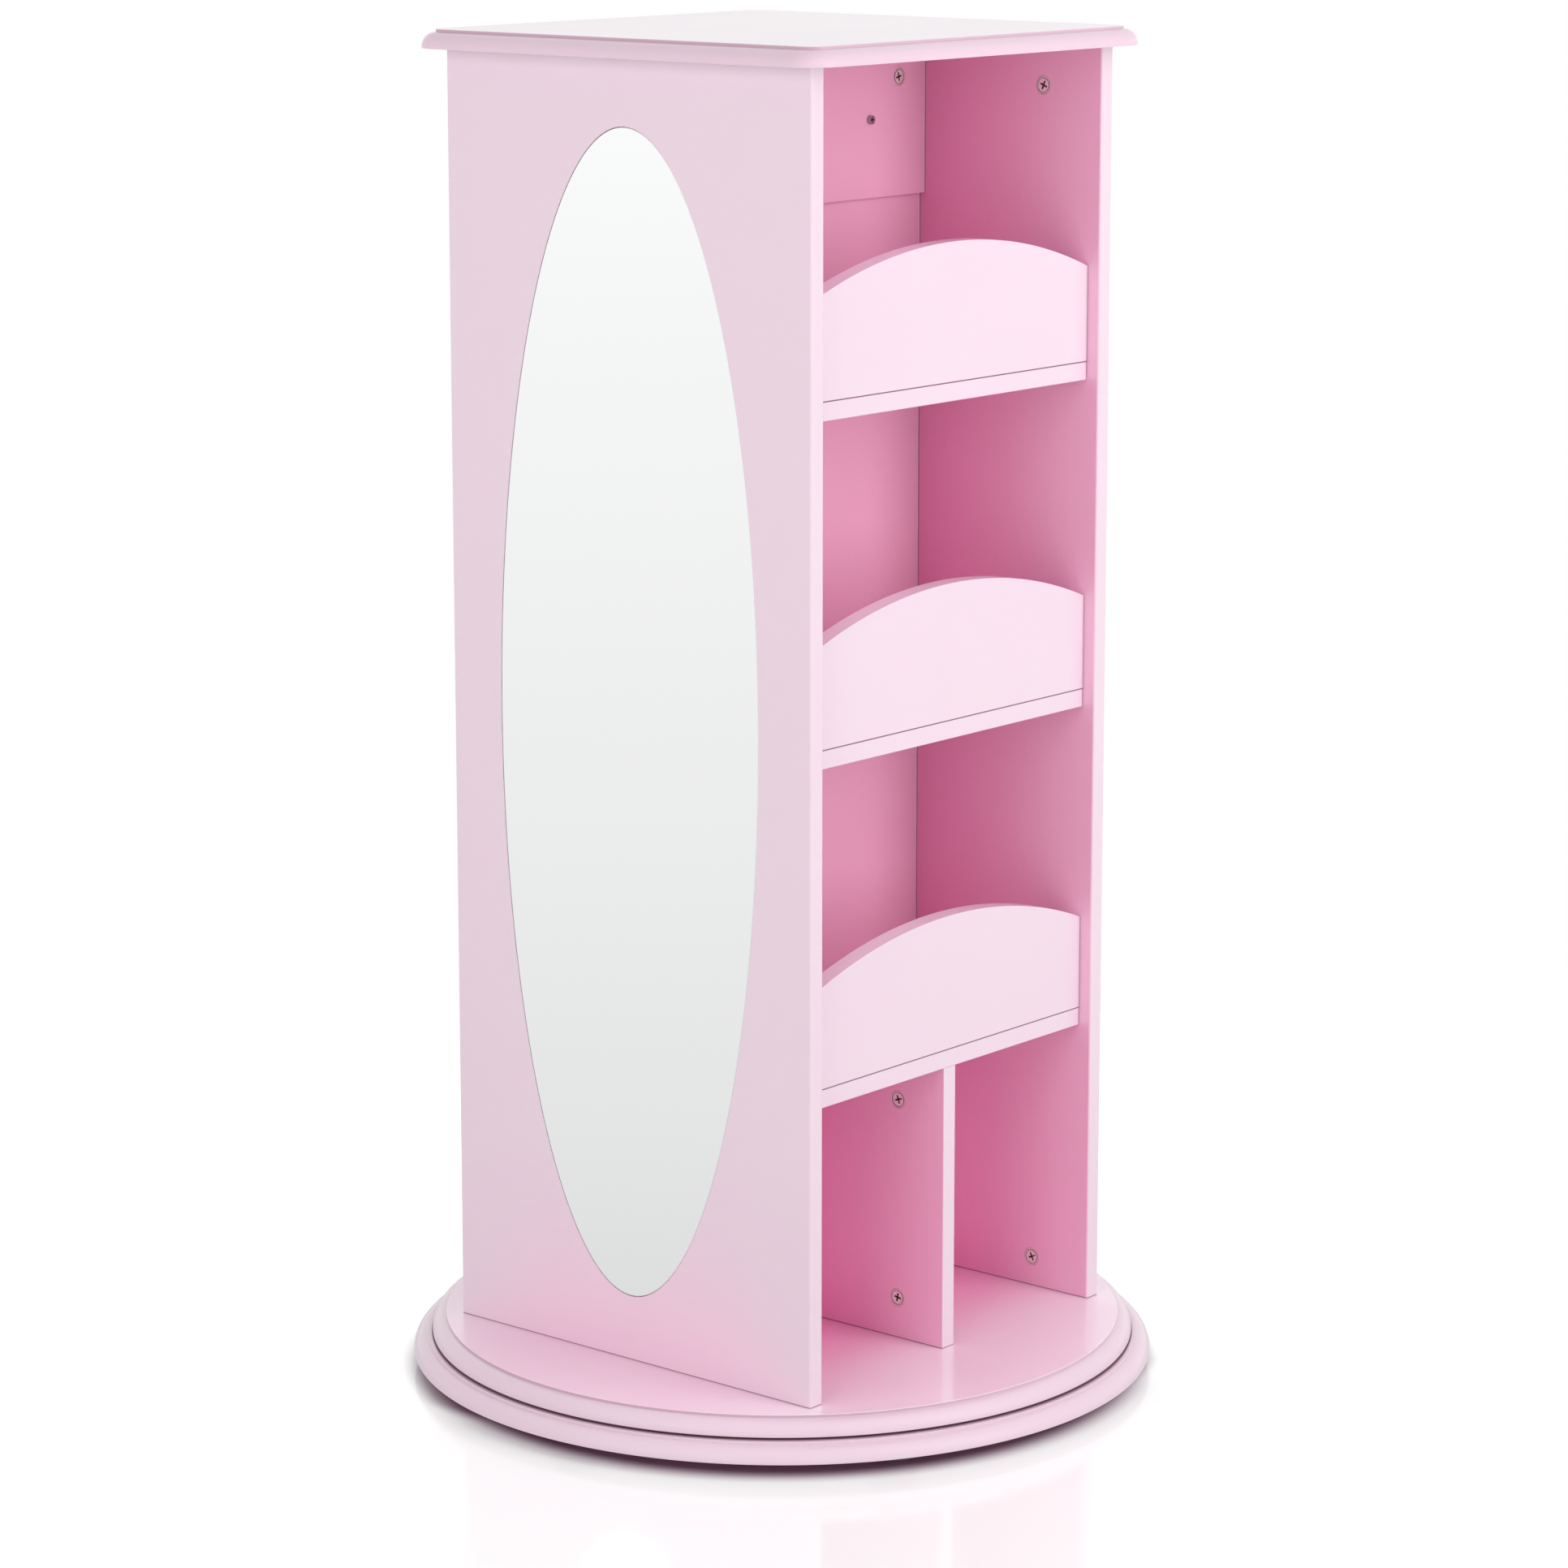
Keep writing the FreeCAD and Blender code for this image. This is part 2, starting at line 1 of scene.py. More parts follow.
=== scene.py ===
"""Studio scene of a revolving wardrobe cabinet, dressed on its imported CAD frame. Lengths are in metres."""
import json
import logging
import math
from dataclasses import dataclass, fields
from enum import Enum
from functools import partialmethod
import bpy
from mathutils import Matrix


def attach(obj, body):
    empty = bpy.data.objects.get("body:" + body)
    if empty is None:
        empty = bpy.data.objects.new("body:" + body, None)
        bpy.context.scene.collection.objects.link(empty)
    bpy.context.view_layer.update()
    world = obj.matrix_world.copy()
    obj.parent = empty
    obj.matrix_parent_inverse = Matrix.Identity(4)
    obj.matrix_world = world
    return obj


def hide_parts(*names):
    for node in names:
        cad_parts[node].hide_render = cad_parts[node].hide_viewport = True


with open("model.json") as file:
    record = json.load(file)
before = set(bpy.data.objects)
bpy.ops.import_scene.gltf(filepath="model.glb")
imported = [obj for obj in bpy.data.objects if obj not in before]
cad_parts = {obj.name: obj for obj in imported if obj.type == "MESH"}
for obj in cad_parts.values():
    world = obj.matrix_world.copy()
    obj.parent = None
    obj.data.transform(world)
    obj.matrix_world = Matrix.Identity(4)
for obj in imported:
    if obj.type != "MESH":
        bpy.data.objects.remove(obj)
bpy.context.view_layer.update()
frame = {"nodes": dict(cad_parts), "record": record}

from types import SimpleNamespace
from typing import Any, Sequence

import bmesh
import bpy
from mathutils import Euler, Matrix, Vector

LOG = logging.getLogger("wardrobe")
MM = 0.001
Triple = tuple[float, float, float]
Colour = Triple
WHITE = (1.0, 1.0, 1.0)


# ---- Names that the frame gives ----
class Body(Enum):
    """The bodies that the joints move."""

    STAND = "stand"
    BALL_SET = "ball_set"
    CAROUSEL = "carousel"


class Slot(Enum):
    """The material slots of the record."""

    PINK_LACQUER = "pink_lacquer"
    MIRROR_GLASS = "mirror_glass"
    FOAM_TAPE = "foam_tape"
    ZINC = "zinc"
    PLATED_STEEL = "plated_steel"
    BEARING_ALLOY = "bearing_alloy"
    BALL_STEEL = "ball_steel"
    CAGE_NYLON = "cage_nylon"
    BEECH = "beech"
    FOOT_PLASTIC = "foot_plastic"


# ---- Node trees ----
def title(name: str) -> str:
    """A plain name as a socket shows it, such as Slot Width for slot_width."""
    return name.replace("_", " ").title()


class Wire:
    """The output of a node, which can be reckoned with like a number."""

    def __init__(self, graph: "Graph", socket: bpy.types.NodeSocket) -> None:
        """Takes the graph and the socket that gives the value."""
        self.graph = graph
        self.socket = socket

    def math(self, operation: str, *others: Any) -> "Wire":
        """The result of a Math node on this value and the others."""
        return self.graph.math(operation, self, *others)

    def __rsub__(self, other: Any) -> "Wire":
        """The other less this."""
        return self.graph.math("SUBTRACT", other, self)

    __add__ = partialmethod(math, "ADD")
    __sub__ = partialmethod(math, "SUBTRACT")
    __mul__ = partialmethod(math, "MULTIPLY")
    __truediv__ = partialmethod(math, "DIVIDE")
    __neg__ = partialmethod(math, "MULTIPLY", -1.0)
    __abs__ = partialmethod(math, "ABSOLUTE")
    most = partialmethod(math, "MAXIMUM")

    def ramp(self, low: float, high: float, to_low: float = 0.0, to_high: float = 1.0) -> "Wire":
        """The range from low to high, mapped smoothly to another and clamped."""
        values = dict(enumerate((self, low, high, to_low, to_high)))
        return self.graph.out("ShaderNodeMapRange", values, interpolation_type="SMOOTHSTEP")

    def band(self, *ends: float) -> "Wire":
        """The product of two ramps, each given by where it is 0 and where it is 1."""
        return self.ramp(*ends[:2]) * self.ramp(*ends[2:])


class Graph:
    """Short calls that fill one node tree. A group's own inputs are read like attributes, by plain name."""

    prefix = "ShaderNode"

    def __init__(self, tree: bpy.types.NodeTree) -> None:
        """Takes the tree to fill."""
        self.tree = tree
        self.ports: Any = {}

    def __getattr__(self, name: str) -> Wire:
        """One of the group's own inputs."""
        return Wire(self, self.ports[title(name)])

    def feed(self, node: bpy.types.Node, inputs: dict[Any, Any]) -> None:
        """Sets or links a node's inputs.

        Args:
            node: The node.
            inputs: By name or number a value, a wire or a list of wires. A colour has three numbers.
        """
        for name, value in inputs.items():
            socket = node.inputs[name]
            for item in value if isinstance(value, list) else [value]:
                if isinstance(item, Wire):
                    self.tree.links.new(item.socket, socket)
                elif socket.type == "RGBA":
                    socket.default_value = (*item, 1.0)
                else:
                    socket.default_value = item

    def add(self, kind: str, inputs: dict[Any, Any] | None = None, **settings: Any) -> bpy.types.Node:
        """Adds a node.

        Args:
            kind: Blender's name of the node type, which can leave out the tree's own prefix.
            inputs: Values or wires for its inputs, by name or number.
            settings: Properties of the node itself.

        Returns:
            The new node.
        """
        node = self.tree.nodes.new(kind if "Node" in kind else self.prefix + kind)
        for name, value in settings.items():
            setattr(node, name, value)
        self.feed(node, inputs or {})
        return node

    def out(self, kind: str, inputs: dict[Any, Any] | None = None, output: Any = 0, **settings: Any) -> Wire:
        """Adds a node and gives one of its outputs, by name or number."""
        return Wire(self, self.add(kind, inputs, **settings).outputs[output])

    def math(self, operation: str, *values: Any) -> Wire:
        """The result of a Math node."""
        return self.out("ShaderNodeMath", dict(enumerate(values)), operation=operation)

    def vector(self, operation: str, *values: Any, output: Any = 0) -> Wire:
        """The result of a Vector Math node, whose output called Value is a number."""
        return self.out("ShaderNodeVectorMath", dict(enumerate(values)), output, operation=operation)

    def point(self, x: Any = 0.0, y: Any = 0.0, z: Any = 0.0) -> Wire:
        """A vector from three values or wires."""
        return self.out("ShaderNodeCombineXYZ", {0: x, 1: y, 2: z})

    def parts(self, vector: Wire) -> list[Wire]:
        """The X, Y and Z of a vector."""
        return [Wire(self, socket) for socket in self.add("ShaderNodeSeparateXYZ", {0: vector}).outputs]

    def noise(self, place: Wire, scale: Any, detail: float, rough: float = 0.5) -> Wire:
        """A noise from 0 to 1."""
        sizes = {"Vector": place, "Scale": scale, "Detail": detail, "Roughness": rough}
        return self.out("ShaderNodeTexNoise", sizes)

    def blend(self, share: Any, first: Any, second: Any) -> Wire:
        """Two colours mixed, with the share of the second."""
        return self.out("ShaderNodeMix", {0: share, 6: first, 7: second}, 2, data_type="RGBA")

    def bump(self, height: Wire, depth: float) -> Wire:
        """The normal that a height from 0 to 1 makes where it stands so deep."""
        return self.out("ShaderNodeBump", {"Height": height, "Distance": depth, "Strength": 1.0})

    def rays(self) -> list[Wire]:
        """Masks of the rays from the camera, off a gloss and through glass."""
        path = self.add("ShaderNodeLightPath").outputs
        return [Wire(self, path["Is %s Ray" % name]) for name in ("Camera", "Glossy", "Transmission")]


class NodeGroup:
    """A node group that is built once and placed by name.

    Its inputs have, by plain name, the number that they start with or their kind of socket.
    """

    name = ""
    kind = "ShaderNodeTree"
    writer = Graph
    inputs: dict[str, Any] = {}
    outputs: tuple[str, ...] = ()
    output_kind = "NodeSocketFloat"

    def fill(self, graph: Graph) -> dict[str, Wire]:
        """Builds the inner nodes.

        Args:
            graph: The group's own tree.

        Returns:
            The outputs, by the names that their sockets show.
        """
        raise NotImplementedError

    def tree(self) -> bpy.types.NodeTree:
        """Builds the group, or finds the one that was built before.

        Returns:
            The group's node tree.
        """
        if self.name in bpy.data.node_groups:
            return bpy.data.node_groups[self.name]
        tree = bpy.data.node_groups.new(self.name, self.kind)
        for name, start in self.inputs.items():
            kind = start if isinstance(start, str) else "Float"
            socket = tree.interface.new_socket(title(name), in_out="INPUT", socket_type="NodeSocket" + kind)
            if kind != start:
                socket.default_value = start
        for name in self.outputs:
            tree.interface.new_socket(title(name), in_out="OUTPUT", socket_type=self.output_kind)
        graph = self.writer(tree)
        graph.ports = graph.add("NodeGroupInput").outputs
        graph.add("NodeGroupOutput", self.fill(graph))
        return tree

    def place(self, graph: Graph, **values: Any) -> SimpleNamespace:
        """Puts the group into a tree.

        Args:
            graph: The tree that gets it.
            values: Values or wires for the group's inputs.

        Returns:
            The group's outputs, by plain name.
        """
        inputs = {title(name): value for name, value in values.items()}
        node = graph.add(self.kind.replace("Tree", "Group"), inputs, node_tree=self.tree())
        return SimpleNamespace(**{name: Wire(graph, node.outputs[title(name)]) for name in self.outputs})


class SprayedFilm(NodeGroup):
    """The slight ripple of sprayed paint and its slow drift in tone."""

    name = "sprayed_film"
    inputs = {"place": "Vector", "ripple_scale": 70.0, "drift_scale": 5.0}
    outputs = ("height", "drift")

    def fill(self, graph: Graph) -> dict[str, Wire]:
        """Ripple from a fine noise and drift from a broad one."""
        return {"Height": graph.noise(graph.place, graph.ripple_scale, 2.0, 0.45),
                "Drift": graph.noise(graph.place, graph.drift_scale, 3.0, 0.55).ramp(0.3, 0.7)}


class CompartmentZones(NodeGroup):
    """Masks of the cabinet's zones for painted shade and light: the compartments, the base's top, the moulded
    rims and the joints.
    """

    name = "compartment_zones"
    inputs = {"place": "Vector", "inner_x": 0.174, "front_y": 0.189, "ceiling": 1.0865, "base_top": 0.0445,
              "shelf_joint": 0.2945, "shelf_pitch": 0.269, "rail_foot": 0.9595, "lip_y": 0.176,
              "gap_radius": 0.291, "gap_foot": 0.028}
    outputs = ("inside", "deep", "base", "rim", "joint")

    def fill(self, graph: Graph) -> dict[str, Wire]:
        """The masks from where the spot is and which way it faces.

        Args:
            graph: The group's own tree.

        Returns:
            The masks.
        """
        x, y, z = graph.parts(graph.place)
        facing_x, facing_y, facing_z = graph.parts(graph.out("TexCoord", None, "Normal"))
        out_y = facing_y * y.math("SIGN")
        # How far the spot lies past the compartments' sides, behind the front, over the base, under the top.
        side = abs(x) - graph.inner_x
        depth = graph.front_y - abs(y)
        over_base = z - graph.base_top
        roof = graph.ceiling - z
        clear_roof = roof.ramp(0.0, 0.0004)
        under_base = over_base.ramp(-0.0020, -0.0005)
        # Faces inside the compartments, without the fronts that can be seen from outside; they get painted
        # shade.
        shown = out_y.ramp(0.4, 0.9) * depth.ramp(0.060, 0.040)
        boards = side.ramp(0.0010, 0.0002) * depth.ramp(0.0002, 0.0012) * roof.ramp(-0.0008, -0.0002)
        boards = boards * (1.0 - shown)
        # Painted light: the lit tops of the lips, and painted highlight lines on the edges of the side panels
        # beside the back.
        lit_lip_top = facing_z.ramp(0.4, 0.8) * depth.ramp(0.0290, 0.0282) * over_base.ramp(0.1, 0.2)
        lit_lip_top = lit_lip_top * side.ramp(0.0, -0.0002) * roof.ramp(0.0, 0.01)
        arris = side.band(-0.0017, -0.0013, 0.0004, 0.0) * out_y.ramp(0.4, 0.9) * depth.ramp(0.10, 0.12)
        arris = arris * over_base.ramp(0.0010, 0.0014) * clear_roof
        # This mask carries painted light: lit tops and highlight lines.
        pale = lit_lip_top.most(arris * 0.8)
        boards = boards * (1.0 - pale)
        # Painted shade on the base in the cubbies, and beside the panels' feet a painted pink light, as if
        # thrown back from them.
        floor = side.ramp(0.010, -0.030) * depth.ramp(0.0, 0.145) * under_base
        glow = side.ramp(0.0120, 0.0145) * over_base.ramp(0.20, -0.02) * under_base * depth.ramp(-0.04, 0.12)
        inside = graph.out("Mix", {0: over_base.ramp(0.0003, 0.0001), 2: boards, 3: floor},
                           data_type="FLOAT")
        deep = boards * (depth.ramp(0.02, 0.17) * out_y.ramp(0.4, 0.1))
        # Painted shade as dark lines: at the boards' feet, in the corners beside the back and the rail, and
        # round the lips.
        foot = over_base.band(0.00004, 0.00008, 0.0010, 0.0006)
        over_rail = z - graph.rail_foot
        behind = depth - over_rail.ramp(-0.0001, 0.0001, 0.1865, 0.1815)
        corner = behind.band(-0.0014, -0.0010, 0.0003, 0.0) * out_y.ramp(0.4, 0.1)
        corner = corner * side.band(-0.0010, -0.0004, 0.0010, 0.0004) * over_base.ramp(0.0, 0.0010)
        turns = (z - graph.shelf_joint) / graph.shelf_pitch
        near_shelf = turns.math("PINGPONG", 0.5) * graph.shelf_pitch
        past_lip = (abs(y) - graph.lip_y).band(-0.0012, -0.0008, 0.0010, 0.0006) * roof.ramp(0.0, 0.05)
        lip = near_shelf.ramp(0.0007, 0.0004) * past_lip * side.ramp(0.0, -0.0002)
        ends = past_lip * out_y.ramp(0.4, 0.9) * side.band(-0.0011, -0.0007, 0.0004, 0.0)
        lip = lip.most(ends * over_base.ramp(0.1, 0.2) * 0.8)
        # Painted shade in the gap between the discs and under the small steps of the mouldings, stronger on
        # faces turned towards -X.
        past_rim = graph.vector("LENGTH", graph.point(x, y), output="Value") - graph.gap_radius
        gap = past_rim.ramp(0.0015, 0.0002) * (z - graph.gap_foot).band(0.0024, 0.0018, -0.0020, -0.0004)
        step = over_base.band(-0.0025, -0.0022, -0.0001, -0.0005)
        step = step.most(roof.band(-0.0125, -0.0128, -0.0150, -0.0146))
        step = step * facing_z.ramp(0.6, 0.3) * facing_x.ramp(0.2, -0.8, 0.22, 0.42)
        # Painted shade on the moulded rims, and painted light on the base's flat top.
        low_rim = over_base.ramp(-0.0001, -0.0004, 0.0, 0.6)
        high_rim = roof.band(-0.0001, -0.0004, -0.0149, -0.0145)
        base_top = over_base.band(0.0003, 0.0001, -0.0004, -0.0001)
        return {"Inside": inside.most(glow * 0.45), "Deep": deep, "Base": base_top.most(pale),
                "Rim": low_rim.most(high_rim),
                "Joint": foot.most(lip).most(corner * clear_roof * 0.6).most(gap).most(step)}


class CreviceShade(NodeGroup):
    """A mask that is 1 in the narrow recesses of small metal parts."""

    name = "crevice_shade"
    inputs = {"reach": 0.003}
    outputs = ("crevice",)

    def fill(self, graph: Graph) -> dict[str, Wire]:
        """Shade from the share of blocked directions within the reach."""
        free = graph.out("AmbientOcclusion", {"Distance": graph.reach}, "AO", samples=8)
        return {"Crevice": free.ramp(0.85, 0.45)}


class EdgeCatch(NodeGroup):
    """A mask that is 1 along rounded edges, where paint draws thin and light catches."""

    name = "edge_catch"
    inputs = {"width": 0.0012}
    outputs = ("edge",)

    def fill(self, graph: Graph) -> dict[str, Wire]:
        """Compares the surface's direction with the direction averaged over the width."""
        normals = [graph.out("Bevel", {"Radius": graph.width}, samples=4),
                   graph.out("NewGeometry", None, "Normal")]
        return {"Edge": graph.vector("DOT_PRODUCT", *normals, output="Value").ramp(0.995, 0.86)}


class FineGrit(NodeGroup):
    """Fine casting or moulding texture, with a sparse speck mask."""

    name = "fine_grit"
    inputs = {"place": "Vector", "grit_scale": 2500.0, "stretch": "Vector"}
    outputs = ("height", "specks")

    def fill(self, graph: Graph) -> dict[str, Wire]:
        """Grit from a noise that the stretch can draw out into brush lines."""
        grit = graph.noise(graph.vector("MULTIPLY", graph.place, graph.stretch), graph.grit_scale, 4.0, 0.6)
        return {"Height": grit, "Specks": grit.ramp(0.58, 0.72)}


class WoodGrain(NodeGroup):
    """Growth rings and pores."""

    name = "wood_grain"
    inputs = {"place": "Vector"}
    outputs = ("rings", "pores")

    def fill(self, graph: Graph) -> dict[str, Wire]:
        """Rings from a bent wave and pores from a fine noise."""
        sizes = {"Vector": graph.place, "Scale": 160.0, "Distortion": 6.0, "Detail": 3.0}
        return {"Rings": graph.out("TexWave", sizes, "Fac", wave_type="RINGS"),
                "Pores": graph.noise(graph.place, 1400.0, 2.0).ramp(0.56, 0.66)}


# ---- Finishes ----
class Blank:
    """A new material with a Principled shader and object coordinates."""

    def __init__(self, name: str) -> None:
        """Makes the material.

        Args:
            name: The material's name.
        """
        self.material = bpy.data.materials.new(name)
        self.material.use_nodes = True
        self.material.node_tree.nodes.clear()
        self.graph = Graph(self.material.node_tree)
        self.shader = self.graph.add("BsdfPrincipled")
        self.surface = Wire(self.graph, self.shader.outputs[0])
        self.output = self.graph.add("OutputMaterial", {"Surface": self.surface})
        self.place = self.graph.out("TexCoord", None, "Object")

    def dressed(self, **inputs: Any) -> bpy.types.Material:
        """The material, with the shader's inputs set."""
        self.graph.feed(self.shader, {title(name): value for name, value in inputs.items()})
        return self.material


@dataclass(frozen=True)
class Lacquer:
    """Satin pink lacquer on MDF, paler outside than inside the compartments, whose deeper pinks are painted
    shade.
    """

    name: str = "pink_lacquer_satin"
    outer_colour: Colour = (0.81, 0.645, 0.735)
    # Painted shade: the deeper pinks of the compartments' faces, and deeper still further in.
    inner_colour: Colour = (0.965, 0.545, 0.728)
    deep_colour: Colour = (0.985, 0.430, 0.685)
    # Painted light: the paler pink of the base's top and the lips' tops, and painted highlight lines.
    base_colour: Colour = (0.99, 0.81, 0.92)
    # Painted shade: the darker pink of the moulded rims.
    rim_colour: Colour = (0.775, 0.565, 0.67)
    # Painted shade: the dark lines at the seams, in the gap between the discs and under the mouldings' steps.
    joint_colour: Colour = (0.20, 0.06, 0.11)
    drift_colour: Colour = (0.60, 0.32, 0.44)
    drift_share: float = 0.03
    joint_share: float = 0.8
    joint_roughness: float = 0.95
    roughness: tuple[float, float] = (0.29, 0.35)
    ripple_depth: float = 0.00003
    coat: float = 0.8
    coat_roughness: float = 0.12

    def material(self) -> bpy.types.Material:
        """Builds the finish: a tone for each zone, which paints shade and light, a slow drift, painted shade
        in rough uncoated seams and a spray ripple.

        Returns:
            The material.
        """
        blank = Blank(self.name)
        film = SprayedFilm().place(blank.graph, place=blank.place)
        zones = CompartmentZones().place(blank.graph, place=blank.place)
        tone = self.outer_colour
        # The zones' tones paint shade and light; only the drift is the paint's own tone.
        for share, colour in ((zones.rim, self.rim_colour), (zones.base, self.base_colour),
                              (zones.inside, self.inner_colour), (zones.deep, self.deep_colour),
                              (film.drift * self.drift_share, self.drift_colour),
                              (zones.joint * self.joint_share, self.joint_colour)):
            tone = blank.graph.blend(share, tone, colour)
        rough = film.drift.ramp(0.0, 1.0, *self.roughness)
        dry = zones.joint.ramp(0.5, 1.0, 0.0, self.joint_roughness)
        return blank.dressed(base_color=tone, roughness=rough.most(dry), coat_roughness=self.coat_roughness,
                             coat_weight=zones.joint.ramp(0.0, 1.0, self.coat, 0.0),
                             normal=blank.graph.bump(film.height, self.ripple_depth))


@dataclass(frozen=True)
class SilveredGlass:
    """Float glass silvered behind, with a ground and polished rim."""

    name: str = "mirror_silver"
    face_colour: Colour = (0.97, 0.975, 0.975)
    rim_colour: Colour = (0.60, 0.72, 0.68)
    rim_width: float = 0.0005
    roughness: float = 0.008

    def material(self) -> bpy.types.Material:
        """Builds the finish: clean silver, a green rim and a trace of wiping haze.

        Returns:
            The material.
        """
        blank = Blank(self.name)
        edge = EdgeCatch().place(blank.graph, width=self.rim_width).edge
        haze = blank.graph.noise(blank.place, 7.0, 5.0).ramp(0.45, 0.75, self.roughness, 3.0 * self.roughness)
        tone = blank.graph.blend(edge, self.face_colour, self.rim_colour)
        return blank.dressed(base_color=tone, roughness=haze, metallic=1.0)


@dataclass(frozen=True)
class Metal:
    """A metal with fine grit, brush lines or casting texture."""

    name: str
    colour: Colour
    dark_colour: Colour
    roughness: float
    grit_scale: float = 2200.0
    stretch: Triple = WHITE
    metallic: float = 1.0
    grit_depth: float = 0.00001
    edge_width: float = 0.0003
    crevice_reach: float = 0.0022

    def material(self) -> bpy.types.Material:
        """Builds the finish: grit in the normal, darker specks, paler edges of painted highlight and wear,
        and painted shade in the recesses.

        Returns:
            The material.
        """
        blank = Blank(self.name)
        graph = blank.graph
        grit = FineGrit().place(graph, place=blank.place, grit_scale=self.grit_scale, stretch=self.stretch)
        edge = EdgeCatch().place(graph, width=self.edge_width).edge
        crevice = CreviceShade().place(graph, reach=self.crevice_reach).crevice
        # Paler edges: painted highlight and wear. Near-black recesses: painted shade.
        pale = tuple(min(1.0, 1.15 * value) for value in self.colour)
        recess_shade = tuple(0.12 * value for value in self.dark_colour)
        tone = graph.blend(grit.specks * 0.5, self.colour, self.dark_colour)
        tone = graph.blend(crevice, graph.blend(edge * 0.6, tone, pale), recess_shade)
        rough = grit.height.ramp(0.3, 0.7, self.roughness - 0.06, self.roughness + 0.06)
        return blank.dressed(base_color=tone, roughness=rough, metallic=self.metallic,
                             normal=graph.bump(grit.height, self.grit_depth))


@dataclass(frozen=True)
class Moulded:
    """A moulded plastic or foam with a fine grain."""

    name: str
    colour: Colour
    worn_colour: Colour
    roughness: float
    grain_scale: float = 1800.0
    grain_depth: float = 0.00003
    edge_width: float = 0.0008

    def material(self) -> bpy.types.Material:
        """Builds the finish: grain in the normal and a paler tone on the edges, which is painted highlight
        and rubbing.

        Returns:
            The material.
        """
        blank = Blank(self.name)
        graph = blank.graph
        grit = FineGrit().place(graph, place=blank.place, grit_scale=self.grain_scale, stretch=WHITE)
        # Paler edges are painted highlight and rubbing; the specks are the plastic's own.
        worn_and_highlit = (EdgeCatch().place(graph, width=self.edge_width).edge * 0.5).most(grit.specks * 0.2)
        rough = grit.height.ramp(0.3, 0.7, self.roughness - 0.08, self.roughness + 0.08)
        return blank.dressed(base_color=graph.blend(worn_and_highlit, self.colour, self.worn_colour), roughness=rough,
                             normal=graph.bump(grit.height, self.grain_depth))


@dataclass(frozen=True)
class BareBeech:
    """Unfinished beech dowel."""

    name: str = "beech_bare"
    light_colour: Colour = (0.72, 0.50, 0.31)
    dark_colour: Colour = (0.55, 0.34, 0.19)
    pore_depth: float = -0.00005

    def material(self) -> bpy.types.Material:
        """Builds the finish: soft rings, short pores and a dry surface.

        Returns:
            The material.
        """
        blank = Blank(self.name)
        grain = WoodGrain().place(blank.graph, place=blank.place)
        tone = blank.graph.blend(grain.rings, self.light_colour, self.dark_colour)
        tone = blank.graph.blend(grain.pores * 0.5, tone, self.dark_colour)
        return blank.dressed(base_color=tone, roughness=grain.rings.ramp(0.0, 1.0, 0.62, 0.72),
                             normal=blank.graph.bump(grain.pores, self.pore_depth))


FINISHES = {
    Slot.PINK_LACQUER: Lacquer(),
    Slot.MIRROR_GLASS: SilveredGlass(),
    Slot.FOAM_TAPE: Moulded("foam_tape_white", (0.86, 0.86, 0.85), (0.93, 0.93, 0.93), 0.8, 900.0, 0.0001),
    # The zinc's rose tint is painted reflection of the pink lacquer round the cam locks.
    Slot.ZINC: Metal("zinc_die_cast", (0.93, 0.78, 0.80), (0.70, 0.46, 0.52), 0.36, 1600.0, metallic=0.3,
                     crevice_reach=0.0028),
    # The plating's dark grey is painted shade of the screws sunk in their holes.
    Slot.PLATED_STEEL: Metal("steel_zinc_plated", (0.50, 0.47, 0.49), (0.30, 0.28, 0.30), 0.20),
    Slot.BEARING_ALLOY: Metal("alloy_machined", (0.78, 0.79, 0.80), (0.60, 0.61, 0.62), 0.35, 900.0,
                              (1.0, 1.0, 12.0)),
    Slot.BALL_STEEL: Metal("steel_polished", (0.82, 0.82, 0.83), (0.70, 0.70, 0.72), 0.10, 3000.0),
    Slot.CAGE_NYLON: Moulded("nylon_natural", (0.82, 0.79, 0.70), (0.90, 0.88, 0.82), 0.45),
    Slot.BEECH: BareBeech(),
    Slot.FOOT_PLASTIC: Moulded("foot_plastic_grey", (0.045, 0.042, 0.045), (0.10, 0.095, 0.10), 0.5),
}


def finish_of(slot: Slot) -> bpy.types.Material:
    """The slot's material, built when it is first asked for."""
    finish = FINISHES[slot]
    return bpy.data.materials.get(finish.name) or finish.material()


def linked(name: str, data: bpy.types.ID) -> bpy.types.Object:
    """Makes an object and puts it in the scene.

    Args:
        name: The object's name.
        data: Its mesh, lamp or camera.

    Returns:
        The object.
    """
    piece = bpy.data.objects.new(name, data)
    bpy.context.scene.collection.objects.link(piece)
    return piece


# ---- Studio ----
@dataclass(frozen=True)
class Softbox:
    """A large soft lamp that faces a point of the cabinet. Azimuth 0 is the shelf side, in degrees."""

    name: str
    azimuth: float
    height: float
    distance: float
    width: float
    tall: float
    watts: float
    aim_height: float = 0.55

    def build(self) -> None:
        """Makes the lamp."""
        data = bpy.data.lights.new(self.name, "AREA")
        data.shape = "RECTANGLE"
        data.size = self.width
        data.size_y = self.tall
        data.energy = self.watts
        lamp = linked(self.name, data)
        turn = math.radians(self.azimuth)
        lamp.location = (self.distance * math.sin(turn), -self.distance * math.cos(turn), self.height)
        to_aim = Vector((0, 0, self.aim_height)) - lamp.location
        lamp.rotation_euler = to_aim.to_track_quat("-Z", "Y").to_euler()
        lamp.visible_camera = False
        lamp.visible_glossy = False


